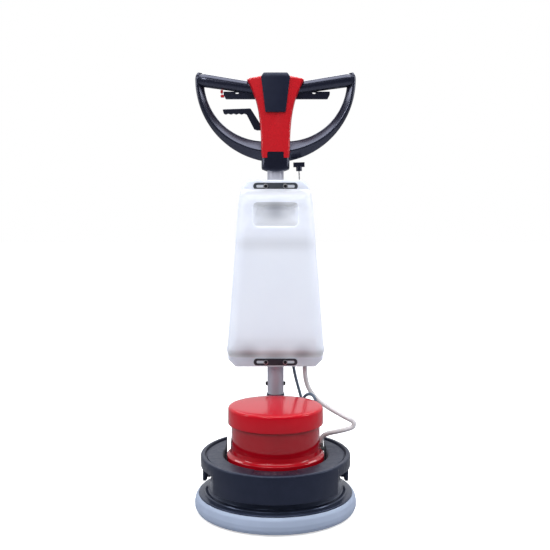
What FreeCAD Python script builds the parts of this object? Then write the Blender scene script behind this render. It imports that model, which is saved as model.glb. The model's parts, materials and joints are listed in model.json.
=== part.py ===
"""Rotary floor machine: one turning brush under a deck, a motor on top, a handle that tilts back.

The part stands on the brush with its bristle tips at z = 0. +Z is up, the operator stands at +Y,
and the motor's axis is upright at x = 0, y = axis_y, so that the bumper's front edge and the
wheels' rear edge are the same distance from y = 0. Sizes are in millimetres.
"""

import FreeCAD
import Part
import Sketcher

import math
import os
import re

from FreeCAD import Vector

SIZES = {
    # Places of the main axes
    "axis_y": -56.5,
    "pivot_back": 200,
    "pivot_z": 140,
    "wheel_back": 280,
    # Brush
    "brush_radius": 204,
    "bristle_inner": 78,
    "bristle_length": 26,
    "block_height": 14,
    "block_bore": 32,
    "plate_radius": 70,
    "plate_height": 6,
    # Deck and bumper
    "deck_radius": 220,
    "deck_bottom": 47,
    "brim_height": 7,
    "bell_radius": 188,
    "deck_top": 96,
    "deck_wall": 6,
    "bumper_radius": 232,
    "bumper_bottom": 5,
    "bumper_height": 45,
    "bumper_wall": 14,
    "connector_x": 136.5,
    "connector_back": 96,
    # Counterweight
    "weight_radius": 215,
    "weight_bore": 147,
    "weight_bottom": 80,
    "weight_top": 162,
    "weight_border": 14,
    "hold_radius": 187,
    "hold_top": 131,
    # Gear case, motor and cap
    "case_radius": 140,
    "case_top": 171,
    "web_bottom": 148,
    "gear_radius": 102,
    "motor_radius": 127,
    "motor_wall": 12,
    "motor_top": 284,
    "core_bottom": 192,
    "core_top": 256,
    "rotor_radius": 61,
    "air_gap": 0.5,
    "shaft_radius": 10,
    "cap_radius": 137,
    "cap_bottom": 250,
    "cap_top": 300,
    "cap_wall": 4,
    "cap_fillet": 7,
    # Planetary gears
    "gear_module": 2,
    "sun_teeth": 12,
    "planet_teeth": 39,
    "gear_bottom": 114,
    "gear_height": 18,
    "backlash": 0.3,
    "planet_pin": 7,
    "carrier_radius": 66,
    "carrier_bottom": 101,
    "carrier_height": 10,
    "output_radius": 15,
    # Yoke, wheels and lock
    "cheek_inner": 30.5,
    "cheek_outer": 42,
    "pivot_pin": 8,
    "yoke_bolt_x": 60,
    "yoke_bolt_back": 162,
    "drum_radius": 22,
    "drum_width": 14,
    "wheel_radius": 65,
    "wheel_gap": 4,
    "wheel_inner": 108,
    "wheel_outer": 143.5,
    "rim_radius": 44,
    "axle_radius": 8,
    "run_gap": 0.05,
    # Handle tube and foot
    "tube_radius": 25,
    "tube_bore": 23,
    "tube_bottom": 291,
    "tube_top": 1030,
    "cable_exit_z": 447,
    "foot_radius": 28,
    "plug_top": 345,
    "foot_screw_z": 322,
    "rod_radius": 5,
    "rod_bore": 6.5,
    # Tank
    "tank_front": 72,
    "tank_back": 196,
    "tank_bottom": 418,
    "tank_shoulder": 918,
    "tank_foot_half": 147,
    "tank_head_half": 108,
    "tank_wall": 4,
    "flange_front": 161,
    "flange_back": 174,
    "flange_top": 950,
    "flange_bottom": 380,
    "clamp_gap": 59,
    "clamp_half": 67,
    "clamp_height": 21,
    "clamp_thick": 5,
    "upper_clamp_z": 930.5,
    "lower_clamp_z": 396,
    "bolt_radius": 3,
    "mouth_half": 66,
    "mouth_top": 885,
    "mouth_bottom": 818,
    # Valve
    "valve_x": 71.5,
    "valve_back": 181.5,
    "valve_lean": 1.8,
    "valve_knob_z": 977,
    # Handle head
    "collar_bottom": 975,
    "collar_half": 43,
    "collar_depth": 34,
    "cover_bottom": 1016,
    "cover_top": 1261,
    "shell_back": 34,
    "cover_front": 32,
    "shell_wall": 3,
    "slot_half": 8,
    "grip_radius": 17,
    "grip_root_z": 1232,
    "grip_tip_z": 1253,
    "grip_tip_x": 226,
    "arm_depth": 34,
    "arm_outer_x": -7.5,
    "arm_outer_z": 1255,
    "arm_outer_radius": 251.5,
    "arm_inner_x": 35,
    "arm_inner_z": 1253,
    "arm_inner_radius": 182,
    "arm_edge": 12,
    "trigger_pivot_x": 56,
    "trigger_pivot_z": 1206,
    "trigger_tip_x": 158,
    "lever_pivot_x": 20,
    "lever_pivot_z": 1112,
    "lever_width": 14,
}

SIDES = {"left": -1, "right": 1}
STRAIGHT = FreeCAD.Rotation()

doc = FreeCAD.newDocument("rotary_floor_machine")
sheet = doc.addObject("Spreadsheet::Sheet", "sizes")
for row, (alias, number) in enumerate(SIZES.items(), start=1):
    sheet.set(f"A{row}", alias)
    sheet.set(f"B{row}", str(number))
    sheet.setAlias(f"B{row}", alias)
doc.recompute()

nodes = []


def size(alias):
    """The number that a cell of the sheet holds."""
    return float(getattr(sheet, alias))


def bind(thing, target, text):
    """Bind one property to an expression in which each alias stands for its cell."""
    words = re.sub(r"[a-z_]+", lambda word: f"sizes.{word[0]}" if word[0] in SIZES else word[0], text)
    thing.setExpression(target, words)


def place(thing, x="0", back="0", z="0"):
    """Place an object at x, at a distance behind the motor's axis, and at a height."""
    bind(thing, "Placement.Base.x", x)
    bind(thing, "Placement.Base.y", f"axis_y + {back}")
    bind(thing, "Placement.Base.z", z)


def node(thing, label):
    """Name a finished sub-part, so that it is written to its own file."""
    thing.Label = label
    nodes.append(thing)
    return thing


def join(label, *pieces):
    """Write several fixed pieces of one kind to one file."""
    for piece in pieces:
        nodes.remove(piece)
    made = doc.addObject("Part::Compound", f"{label}_group")
    made.Links = list(pieces)
    return node(made, label)


# Bodies made of sketches


def new_body(label):
    return doc.addObject("PartDesign::Body", f"{label}_body")


def new_sketch(body, plane):
    """A sketch on one of the body's own origin planes."""
    sketch = body.newObject("Sketcher::SketchObject", f"{body.Name}_sketch")
    flat = next(part for part in body.Origin.OriginFeatures if part.Role == f"{plane}_Plane")
    sketch.AttachmentSupport = [(flat, "")]
    sketch.MapMode = "FlatFace"
    return sketch


def outline(sketch, corners):
    """A closed outline of straight lines whose corners are pairs of expressions."""
    first = sketch.GeometryCount
    count = len(corners)
    start = [Vector(math.cos(math.tau * i / count), math.sin(math.tau * i / count)) for i in range(count)]
    for i in range(count):
        sketch.addGeometry(Part.LineSegment(start[i], start[(i + 1) % count]))
    for i, corner in enumerate(corners):
        after = first + (i + 1) % count
        sketch.addConstraint(Sketcher.Constraint("Coincident", first + i, 2, after, 1))
        for kind, text, number in zip(("DistanceX", "DistanceY"), corner, (start[i].x, start[i].y)):
            index = sketch.addConstraint(Sketcher.Constraint(kind, -1, 1, first + i, 1, number))
            bind(sketch, f"Constraints[{index}]", text)


def ring(sketch, radius, x="0", y="0"):
    """A circle whose centre and radius are expressions."""
    curve = sketch.addGeometry(Part.Circle(Vector(1, 1, 0), Vector(0, 0, 1), 1))
    for kind, text in (("DistanceX", x), ("DistanceY", y)):
        index = sketch.addConstraint(Sketcher.Constraint(kind, -1, 1, curve, 3, 1))
        bind(sketch, f"Constraints[{index}]", text)
    index = sketch.addConstraint(Sketcher.Constraint("Radius", curve, 1))
    bind(sketch, f"Constraints[{index}]", radius)


def feature(body, kind, sketch):
    made = body.newObject(f"PartDesign::{kind}", f"{body.Name}_{kind.lower()}")
    made.Profile = sketch
    sketch.Visibility = False
    return made


def turn(body, corners, axis="V_Axis", kind="Revolution"):
    """Turn an outline in the XZ plane about the upright axis, or about the flat one."""
    sketch = new_sketch(body, "XZ")
    outline(sketch, corners)
    made = feature(body, kind, sketch)
    made.ReferenceAxis = (sketch, [axis])
    made.Angle = 360
    return made


def turned(label, corners, axis="V_Axis", x="0", back="0", z="0"):
    """A sub-part that is one turned outline."""
    body = new_body(label)
    turn(body, corners, axis)
    place(body, x, back, z)
    return node(body, label)


def sleeve(label, inner, outer, bottom, top, **at):
    """A turned sub-part with a rectangular section."""
    corners = [(inner, bottom), (outer, bottom), (outer, top), (inner, top)]
    return turned(label, corners, **at)


def pin(label, radius, start, end, axis="H_Axis", **at):
    """A round pin along X, or along Z with the upright axis."""
    corners = [(start, "0"), (end, "0"), (end, radius), (start, radius)]
    if axis == "V_Axis":
        corners = [(second, first) for first, second in corners]
    return turned(label, corners, axis, **at)


def pad(body, plane, draw, length, middle=False, reverse=False):
    """Pad a sketch that draw() fills."""
    sketch = new_sketch(body, plane)
    draw(sketch)
    made = feature(body, "Pad", sketch)
    bind(made, "Length", length)
    made.Midplane = middle
    made.Reversed = reverse
    return made


def pocket(body, plane, draw, length, middle=True, reverse=False):
    """Cut a sketch that draw() fills out of the body, and make sure that it cuts."""
    doc.recompute()
    before = body.Shape.Volume
    sketch = new_sketch(body, plane)
    draw(sketch)
    made = feature(body, "Pocket", sketch)
    bind(made, "Length", length)
    made.Midplane = middle
    made.Reversed = reverse
    doc.recompute()
    if body.Shape.Volume > before - 1:
        raise ValueError(f"{made.Name} cuts nothing")
    return made


def edges_where(shape, wanted):
    """The names of the edges that a test picks by their box."""
    return [f"Edge{i}" for i, edge in enumerate(shape.Edges, start=1) if wanted(edge.BoundBox, edge)]


def dress(body, kind, wanted, amount):
    """Round or bevel the picked edges of a body."""
    doc.recompute()
    base = body.Tip
    names = edges_where(base.Shape, wanted)
    made = body.newObject(f"PartDesign::{kind}", f"{body.Name}_{kind.lower()}")
    made.Base = (base, names)
    bind(made, "Radius" if kind == "Fillet" else "Size", amount)
    return made


# Solids made of primitives


def box(width, depth, height, x, back, z):
    """A box whose lowest corner is at x, back, z."""
    made = doc.addObject("Part::Box", "box")
    bind(made, "Length", width)
    bind(made, "Width", depth)
    bind(made, "Height", height)
    place(made, x, back, z)
    return made


def rod(radius, length, x, back, z, along="Z"):
    """A cylinder that starts at x, back, z and runs along an axis."""
    made = doc.addObject("Part::Cylinder", "rod")
    turns = {"X": FreeCAD.Rotation(Vector(0, 1, 0), 90), "Y": FreeCAD.Rotation(Vector(1, 0, 0), -90)}
    made.Placement = FreeCAD.Placement(Vector(), turns.get(along, STRAIGHT))
    bind(made, "Radius", radius)
    bind(made, "Height", length)
    place(made, x, back, z)
    return made


def cut(base, tool):
    made = doc.addObject("Part::Cut", "cut")
    made.Base = base
    made.Tool = tool
    return made


def fuse(*parts):
    made = doc.addObject("Part::MultiFuse", "fuse")
    made.Shapes = list(parts)
    made.Refine = True
    return made


def solid(label, shape, x=0.0, back=0.0, z=0.0, rotation=STRAIGHT):
    """A sub-part with a shape worked out by formula."""
    made = doc.addObject("Part::Feature", f"{label}_shape")
    made.Shape = shape
    made.Placement = FreeCAD.Placement(Vector(x, size("axis_y") + back, z), rotation)
    return node(made, label)


# Brush


def make_brush():
    """A wooden block with its bristles, and the drive plate that the gear's output turns."""
    sleeve("brush_bristles", "bristle_inner", "brush_radius - 4", "0", "bristle_length")
    sleeve("brush_block", "block_bore", "brush_radius", "bristle_length", "bristle_length + block_height")
    plate_z = "bristle_length + block_height"
    hub = "block_bore - 2"
    profile = [
        ("output_radius", f"{plate_z} - 10"),
        (hub, f"{plate_z} - 10"),
        (hub, plate_z),
        ("plate_radius", plate_z),
        ("plate_radius", f"{plate_z} + plate_height"),
        (hub, f"{plate_z} + plate_height"),
        (hub, f"{plate_z} + 22"),
        ("output_radius", f"{plate_z} + 22"),
    ]
    turned("drive_plate", profile)


# Deck, bumper and counterweight


def make_deck():
    """A cast bell: a wide brim, an upright wall and a top with a boss for the output bearing."""
    brim_top = "deck_bottom + brim_height"
    profile = [
        ("bell_radius - deck_wall", "deck_bottom"),
        ("deck_radius", "deck_bottom"),
        ("deck_radius", brim_top),
        ("bell_radius + 4", brim_top),
        ("bell_radius", f"{brim_top} + 4"),
        ("bell_radius - 3", "deck_top"),
        ("31", "deck_top"),
        ("31", "deck_top - 24"),
        ("45", "deck_top - 24"),
        ("45", "deck_top - deck_wall"),
        ("bell_radius - 3 - deck_wall", "deck_top - deck_wall"),
    ]
    body = new_body("deck")
    turn(body, profile)

    def holes(sketch):
        bolt_rings(sketch)
        ring(sketch, "5.9", "connector_x", "connector_back")

    pocket(body, "XY", holes, "2 * deck_top + 2")
    place(body)
    node(body, "deck")


def make_bumper():
    """A soft ring round the brim, with a groove that grips the brim's edge."""
    top = "bumper_bottom + bumper_height"
    body = new_body("bumper")
    profile = [
        ("bumper_radius - bumper_wall", "bumper_bottom + 6"),
        ("bumper_radius - 7", "bumper_bottom"),
        ("bumper_radius", "bumper_bottom + 7"),
        ("bumper_radius - 1.5", f"{top} - 6"),
        ("bumper_radius - 5", f"{top} + 2"),
        ("deck_radius", f"{top} + 2"),
        ("deck_radius", "deck_bottom"),
        ("bumper_radius - bumper_wall", "deck_bottom"),
    ]
    turn(body, profile)
    place(body)
    node(body, "bumper")


def spot(sign, angle, radius):
    """A point on a circle round the motor, at an angle behind the machine's widest place."""
    across = math.cos(math.radians(angle))
    behind = math.sin(math.radians(angle))
    return f"{sign} * ({radius}) * {across:.4f}", f"({radius}) * {behind:.4f}"


def make_counterweight():
    """A cast horseshoe, open to the rear, with a hand hold under each side."""
    body = new_body("counterweight")
    inside = "weight_radius - weight_border"
    profile = [
        ("weight_bore", "deck_top"),
        ("weight_bore + 12", "deck_top"),
        ("weight_bore + 12", "weight_top - 18"),
        ("bell_radius - 10", "weight_top - 18"),
        ("bell_radius - 10", "deck_top"),
        ("bell_radius + 4.5", "deck_top"),
        ("bell_radius + 4.5", "weight_bottom"),
        ("weight_radius - 3", "weight_bottom"),
        ("weight_radius", "weight_bottom + 3"),
        ("weight_radius", "weight_top - 4"),
        ("weight_radius - 4", "weight_top"),
        (inside, "weight_top"),
        (f"{inside} - 2", "weight_top - 3"),
        ("weight_bore + 3", "weight_top - 3"),
        ("weight_bore", "weight_top - 6"),
    ]
    turn(body, profile)
    half = "weight_bore"
    rear = "weight_radius + 10"
    slot = [(f"-{half}", "0"), (half, "0"), (half, rear), (f"-{half}", rear)]
    pocket(body, "XY", lambda sketch: outline(sketch, slot), "weight_top * 2 + 2")
    for sign in SIDES.values():
        hold = [spot(sign, angle, "hold_radius") for angle in (-37, -24, -9, 8)]
        hold += [spot(sign, angle, "weight_radius + 25") for angle in (8, -9, -24, -37)]
        pocket(body, "XY", lambda sketch, hold=hold: outline(sketch, hold), "2 * hold_top")
    place(body)
    node(body, "counterweight")


# Gear case, motor and cap


def make_gear_case():
    """The red flange between deck and motor: gears below its web, the lower bearing in it."""
    profile = [
        ("gear_radius + 2", "deck_top"),
        ("case_radius", "deck_top"),
        ("case_radius", "case_top - 3"),
        ("case_radius - 3", "case_top"),
        ("12", "case_top"),
        ("12", "web_bottom + 16"),
        ("23.5", "web_bottom + 16"),
        ("23.5", "web_bottom"),
        ("gear_radius + 2", "web_bottom"),
    ]
    turned("gear_case", profile)


def make_motor():
    """Body with end shield, laminated core, windings, bearings and the cap over the fan."""
    bore = "motor_radius - motor_wall"
    profile = [
        (bore, "case_top"),
        ("motor_radius + 4", "case_top"),
        ("motor_radius + 0.5", "case_top + 3"),
        ("motor_radius", "case_top + 8"),
        ("motor_radius", "motor_top - 4"),
        ("motor_radius - 4", "motor_top"),
        ("12", "motor_top"),
        ("12", "motor_top - 4"),
        ("23.5", "motor_top - 4"),
        ("23.5", "motor_top - 18"),
        ("30", "motor_top - 18"),
        ("30", "motor_top - 8"),
        (bore, "motor_top - 8"),
    ]
    turned("motor_body", profile)
    core = sleeve("stator_core", "rotor_radius + air_gap", bore, "core_bottom", "core_top")
    winding = ("rotor_radius + 6", f"{bore} - 14")
    lower = sleeve("winding_lower", *winding, "core_bottom - 15", "core_bottom")
    upper = sleeve("winding_upper", *winding, "core_top", "core_top + 14")
    join("stator", core, lower, upper)
    lower = sleeve("bearing_lower", "shaft_radius + run_gap", "23.5", "web_bottom + 2", "web_bottom + 16")
    upper = sleeve("bearing_upper", "shaft_radius + run_gap", "23.5", "motor_top - 18", "motor_top - 4")
    output = sleeve("bearing_output", "output_radius + run_gap", "31", "deck_top - 18", "deck_top")
    join("bearings", lower, upper, output)


def make_cap():
    """The domed cap over the motor, standing on three posts above the end shield."""
    inner = "cap_radius - cap_wall"
    body = new_body("motor_cap")
    profile = [
        (inner, "cap_bottom"),
        ("cap_radius", "cap_bottom"),
        ("cap_radius", "cap_top"),
        ("0", "cap_top"),
        ("0", "cap_top - cap_wall"),
        (inner, "cap_top - cap_wall"),
    ]
    turn(body, profile)
    dress(body, "Fillet", lambda b, e: b.ZMin > size("cap_top") - 0.1 and b.XMax > 100, "cap_fillet")

    doc.recompute()
    sketch = new_sketch(body, "XY")
    for angle in (90, 210, 330):
        across = math.cos(math.radians(angle))
        behind = math.sin(math.radians(angle))
        ring(sketch, "6", f"{across:.4f} * 108", f"{behind:.4f} * 108")
    bind(sketch, "AttachmentOffset.Base.z", "motor_top")
    made = feature(body, "Pad", sketch)
    bind(made, "Length", "cap_top - motor_top - cap_wall / 2")
    place(body)
    node(body, "motor_cap")


def make_rotor():
    """Shaft with the sun gear's seat, the rotor core and the fan."""
    turned(
        "rotor_shaft",
        [
            ("0", "gear_bottom"),
            ("6", "gear_bottom"),
            ("6", "gear_bottom + gear_height + 4"),
            ("shaft_radius", "gear_bottom + gear_height + 4"),
            ("shaft_radius", "cap_top - 10"),
            ("0", "cap_top - 10"),
        ],
    )
    sleeve("rotor_core", "shaft_radius", "rotor_radius", "core_bottom", "core_top")
    fan_bottom = "motor_top + 2"
    hub = sleeve_solid("shaft_radius", "22", fan_bottom, "cap_top - 10")
    disc = sleeve_solid("22", "92", fan_bottom, "motor_top + 4")
    blades = []
    for i in range(8):
        blade = box("64", "3", "5", "26", "-1.5", fan_bottom)
        turn_by = FreeCAD.Rotation(Vector(0, 0, 1), 45 * i)
        step = turn_by.multVec(Vector(26, -1.5, 0))
        blade.Placement = FreeCAD.Placement(Vector(), turn_by)
        place(blade, f"{step.x:.4f}", f"{step.y:.4f}", fan_bottom)
        blades.append(blade)
    node(fuse(hub, disc, *blades), "fan")


def sleeve_solid(inner, outer, bottom, top):
    """A plain ring on the motor's axis."""
    outside = rod(outer, f"{top} - ({bottom})", "0", "0", bottom)
    inside = rod(inner, f"{top} - ({bottom})", "0", "0", bottom)
    return cut(outside, inside)


# Planetary gears


PRESSURE = math.radians(25)


def involute(base, radius):
    """The angle swept along an involute of a base circle, out to a radius."""
    roll = math.sqrt(max((radius / base) ** 2 - 1, 0))
    return roll - math.atan(roll)


def tooth_side(teeth, inner, outer, thin):
    """Three points of a tooth's flank, as radius and angle from the tooth's middle line."""
    pitch = size("gear_module") * teeth / 2
    base = pitch * math.cos(PRESSURE)
    half = math.pi / (2 * teeth) + thin / pitch
    points = []
    for part in (0, 0.5, 1):
        radius = inner + (outer - inner) * part
        points.append((radius, half + involute(base, pitch) - involute(base, max(radius, base))))
    return points


def polar(radius, angle):
    return Vector(radius * math.cos(angle), radius * math.sin(angle), 0)


def gear_face(teeth, phase, tip, root, thin):
    """A closed gear outline: per tooth a rising flank, a tip, a falling flank and a root."""
    sides = tooth_side(teeth, root, tip, thin)
    edges = []
    for i in range(teeth):
        middle = phase + math.tau * i / teeth
        rise = [polar(radius, middle - angle) for radius, angle in sides]
        fall = [polar(radius, middle + angle) for radius, angle in reversed(sides)]
        following = polar(root, middle + math.tau / teeth - sides[0][1])
        edges.append(Part.Arc(*rise).toShape())
        edges.append(Part.LineSegment(rise[-1], fall[0]).toShape())
        edges.append(Part.Arc(*fall).toShape())
        edges.append(Part.LineSegment(fall[-1], following).toShape())
    return Part.Face(Part.Wire(edges))


def make_gears():
    """Sun, three planets and ring in mesh: a tooth of the sun points along +X."""
    step = size("gear_module")
    sun = SIZES["sun_teeth"]
    planet = SIZES["planet_teeth"]
    ring_teeth = sun + 2 * planet
    height = size("gear_height")
    thin = -size("backlash") / 4
    up = Vector(0, 0, height)
    bottom = size("gear_bottom")
    centre = step * (sun + planet) / 2

    def add_gear(label, teeth, phase, bore, x, y, tall=0.0):
        face = gear_face(teeth, phase, step * (teeth / 2 + 0.85), step * (teeth / 2 - 1.2), thin)
        gear = face.extrude(Vector(0, 0, height + tall))
        hole = Part.makeCylinder(bore, height + tall)
        return solid(label, gear.cut(hole), x, y, bottom)

    sun_gear = add_gear("sun_gear", sun, 0.0, 6, 0, 0, 2)
    join("sun_shaft", doc.getObject("rotor_shaft_body"), sun_gear)
    for i in range(3):
        around = math.tau * i / 3
        gap = around + math.pi + sun / planet * around
        phase = gap + math.pi / planet
        bore = size("planet_pin") + size("run_gap")
        x = centre * math.cos(around)
        y = centre * math.sin(around)
        add_gear(f"planet_gear_{i + 1}", planet, phase, bore, x, y)
    gap = (math.pi + math.pi / planet) * planet / ring_teeth
    inner = gear_face(ring_teeth, gap, step * (ring_teeth / 2 + 1.2), step * (ring_teeth / 2 - 0.85), -thin)
    rim = Part.makeCylinder(size("gear_radius") + 2, height)
    solid("ring_gear", rim.cut(inner.extrude(up)), 0, 0, bottom)


def make_carrier():
    """The carrier disc on the output shaft, with a pin for each planet gear."""
    centre = size("gear_module") * (SIZES["sun_teeth"] + SIZES["planet_teeth"]) / 2
    body = new_body("planet_carrier")
    top = "carrier_bottom + carrier_height"
    turn(
        body,
        [
            ("0", "bristle_length + block_height - 10"),
            ("output_radius", "bristle_length + block_height - 10"),
            ("output_radius", "carrier_bottom - 3"),
            ("output_radius + 5", "carrier_bottom - 3"),
            ("output_radius + 5", "carrier_bottom"),
            ("carrier_radius", "carrier_bottom"),
            ("carrier_radius", top),
            ("0", top),
        ],
    )
    doc.recompute()
    sketch = new_sketch(body, "XY")
    bind(sketch, "AttachmentOffset.Base.z", top)
    for i in range(3):
        around = math.tau * i / 3
        x = f"{centre * math.cos(around):.4f}"
        y = f"{centre * math.sin(around):.4f}"
        ring(sketch, "planet_pin", x, y)
    made = feature(body, "Pad", sketch)
    bind(made, "Length", f"gear_bottom + gear_height + 2 - ({top})")
    place(body)
    node(body, "planet_carrier")


# Yoke, wheels and tilt lock


def make_yoke():
    """A forked bracket on the deck: two cheeks carry the pivot pin and the wheels' axle."""
    body = new_body("yoke")
    front = "case_radius + 6"
    cheeks = [
        (front, "deck_top"),
        (front, "deck_top + 28"),
        ("pivot_back - 10", "pivot_z + 21.8"),
        ("pivot_back + 15.9", "pivot_z + 18"),
        ("wheel_back + 12", "wheel_gap + wheel_radius + 13.5"),
        ("wheel_back - 12", "wheel_gap + wheel_radius - 13.5"),
        ("pivot_back + 22", "deck_top"),
    ]
    width = "2 * cheek_outer"
    pad(body, "YZ", lambda sketch: outline(sketch, cheeks), width, middle=True)
    pad(body, "YZ", lambda sketch: ring(sketch, "24", "pivot_back", "pivot_z"), width, middle=True)
    axle_z = "wheel_gap + wheel_radius"
    pad(body, "YZ", lambda sketch: ring(sketch, "18", "wheel_back", axle_z), width, middle=True)
    foot = [("-76", "148"), ("76", "148"), ("76", "180"), ("-76", "180")]
    base = pad(body, "XY", lambda sketch: outline(sketch, foot), "8")
    bind(base.Profile[0], "AttachmentOffset.Base.z", "deck_top")
    gap = [("160", "40"), ("160", "deck_top + 8"), ("160", "200"), ("330", "200"), ("330", "40")]
    pocket(body, "YZ", lambda sketch: outline(sketch, gap), "2 * cheek_inner")

    def bores(sketch):
        ring(sketch, "pivot_pin", "pivot_back", "pivot_z")
        ring(sketch, "axle_radius", "wheel_back", axle_z)

    pocket(body, "YZ", bores, "2 * cheek_outer + 2")
    pocket(body, "XY", bolt_rings, "2 * deck_top + 40")
    place(body)
    node(body, "yoke")
    at = {"back": "pivot_back", "z": "pivot_z"}
    steel_pin = pin("pivot_pin", "pivot_pin", "-cheek_outer - 3", "cheek_outer + 3", **at)
    half = "drum_width / 2"
    profile = [(f"-{half}", "pivot_pin"), (half, "pivot_pin")]
    profile += [(half, "drum_radius"), (f"-{half}", "drum_radius")]
    drum = turned("lock_drum", profile, "H_Axis", **at)
    join("pivot_pin_and_drum", steel_pin, drum)
    bolts = []
    for side, sign in SIDES.items():
        bolt = [
            ("0", "deck_top - 14"),
            ("4", "deck_top - 14"),
            ("4", "deck_top + 8"),
            ("8", "deck_top + 8"),
            ("7", "deck_top + 14"),
            ("0", "deck_top + 14"),
        ]
        bolts.append(turned(f"yoke_bolt_{side}", bolt, x=f"{sign} * yoke_bolt_x", back="yoke_bolt_back"))
    join("yoke_bolts", *bolts)


def bolt_rings(sketch):
    """The two bolt holes that the yoke shares with the deck."""
    for sign in SIDES.values():
        ring(sketch, "4", f"{sign} * yoke_bolt_x", "yoke_bolt_back")


def make_wheels():
    """Two wheels on one fixed axle, each with a tyre, an inner sleeve and an end cap."""
    at = {"back": "wheel_back", "z": "wheel_gap + wheel_radius"}
    axle = [pin("axle_bar", "axle_radius", "-wheel_outer - 3", "wheel_outer + 3", **at)]
    spacers = []
    for side, sign in SIDES.items():

        def side_profile(corners, sign=sign):
            return [(f"{sign} * ({across})", radius) for across, radius in corners]

        inner = "wheel_inner"
        outer = "wheel_outer"
        bore = "axle_radius + run_gap"
        rim = [
            (inner, bore),
            (outer, bore),
            (outer, "16"),
            (f"{outer} - 8", "20"),
            (f"{outer} - 8", "rim_radius - 8"),
            (f"{outer} - 1", "rim_radius - 4"),
            (f"{outer} - 1", "rim_radius"),
            (f"{inner} + 1", "rim_radius"),
            (f"{inner} + 1", "rim_radius - 4"),
            (f"{inner} + 8", "rim_radius - 8"),
            (f"{inner} + 8", "20"),
            (inner, "16"),
        ]
        turned(f"wheel_rim_{side}", side_profile(rim), "H_Axis", **at)
        tyre = [
            (f"{inner} + 1", "rim_radius"),
            (f"{outer} - 1", "rim_radius"),
            (f"{outer} - 0.5", "wheel_radius - 7"),
            (f"{outer} - 3", "wheel_radius - 2"),
            (f"{outer} - 8", "wheel_radius"),
            (f"{inner} + 8", "wheel_radius"),
            (f"{inner} + 3", "wheel_radius - 2"),
            (f"{inner} + 0.5", "wheel_radius - 7"),
        ]
        turned(f"tyre_{side}", side_profile(tyre), "H_Axis", **at)
        spacer = [("cheek_outer", "axle_radius"), (f"{inner} - 0.3", "axle_radius")]
        spacer += [(f"{inner} - 0.3", "12"), ("cheek_outer", "12")]
        spacers.append(turned(f"axle_sleeve_{side}", side_profile(spacer), "H_Axis", **at))
        cap = [(f"{outer} + 0.3", "axle_radius"), (f"{outer} + 3", "axle_radius"), (f"{outer} + 3", "0")]
        cap += [(f"{outer} + 5", "0"), (f"{outer} + 4", "12"), (f"{outer} + 0.3", "13")]
        axle.append(turned(f"axle_cap_{side}", side_profile(cap), "H_Axis", **at))
    join("wheel_axle", *axle)
    join("axle_sleeves", *spacers)


def make_foot():
    """The tube's foot: an eye between the cheeks, split round the drum, and a plug in the tube."""
    eye = rod("24", "58", "-29", "pivot_back", "pivot_z", "X")
    column = rod("foot_radius", "tube_bottom - pivot_z", "0", "pivot_back", "pivot_z")
    plug = rod("tube_bore", "plug_top - tube_bottom", "0", "pivot_back", "tube_bottom")
    bore = rod("rod_bore", "plug_top - pivot_z + 1", "0", "pivot_back", "pivot_z")
    pivot = rod("pivot_pin + run_gap", "100", "-50", "pivot_back", "pivot_z", "X")
    split = box("drum_width + 2", "80", "88", "-drum_width / 2 - 1", "pivot_back - 40", "pivot_z - 30")
    screw_holes = rod("3", "60", "-30", "pivot_back", "foot_screw_z", "X")
    sides = box("20", "80", "60", "29", "pivot_back - 40", "pivot_z")
    other_sides = box("20", "80", "60", "-49", "pivot_back - 40", "pivot_z")
    openings = fuse(bore, pivot, split, screw_holes, sides, other_sides)
    node(cut(fuse(eye, column, plug), openings), "tube_foot")
    screws = []
    for side, sign in SIDES.items():
        profile = [("8.5", "0"), ("8.5", "3"), ("tube_radius", "3"), ("tube_radius", "6.5")]
        profile += [("tube_radius + 4", "6.5"), ("tube_radius + 4", "0")]
        profile = [(f"{sign} * ({across})", radius) for across, radius in profile]
        screws.append(turned(f"foot_screw_{side}", profile, "H_Axis", back="pivot_back", z="foot_screw_z"))
    join("foot_screws", *screws)


def make_lock():
    """A shoe that grips the drum from above, its long rod inside the tube, and the spring."""
    block = box("drum_width", "36", "34", "-drum_width / 2", "pivot_back - 18", "pivot_z + 14")
    drum = rod("drum_radius", "40", "-20", "pivot_back", "pivot_z", "X")
    node(cut(block, drum), "lock_shoe")
    collar_z = "lever_pivot_z + 10"
    profile = [
        ("0", "pivot_z + 48"),
        ("rod_radius", "pivot_z + 48"),
        ("rod_radius", collar_z),
        ("9", collar_z),
        ("9", f"{collar_z} + 6"),
        ("rod_radius", f"{collar_z} + 6"),
        ("rod_radius", f"{collar_z} + 26"),
        ("0", f"{collar_z} + 26"),
    ]
    turned("lock_rod", profile, back="pivot_back")
    bottom = size("lever_pivot_z") + 16.2
    turns = 5
    pitch = 5.4
    path = Part.makeHelix(pitch, pitch * turns, 7.4)
    wire = Part.Wire(Part.makeCircle(0.9, Vector(7.4, 0, 0), Vector(0, 1, 0)))
    spring = Part.Wire(path).makePipeShell([wire], True, True)
    solid("lock_spring", spring, 0, size("pivot_back"), bottom + 1)


# Tube, tank and clamps


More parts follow.
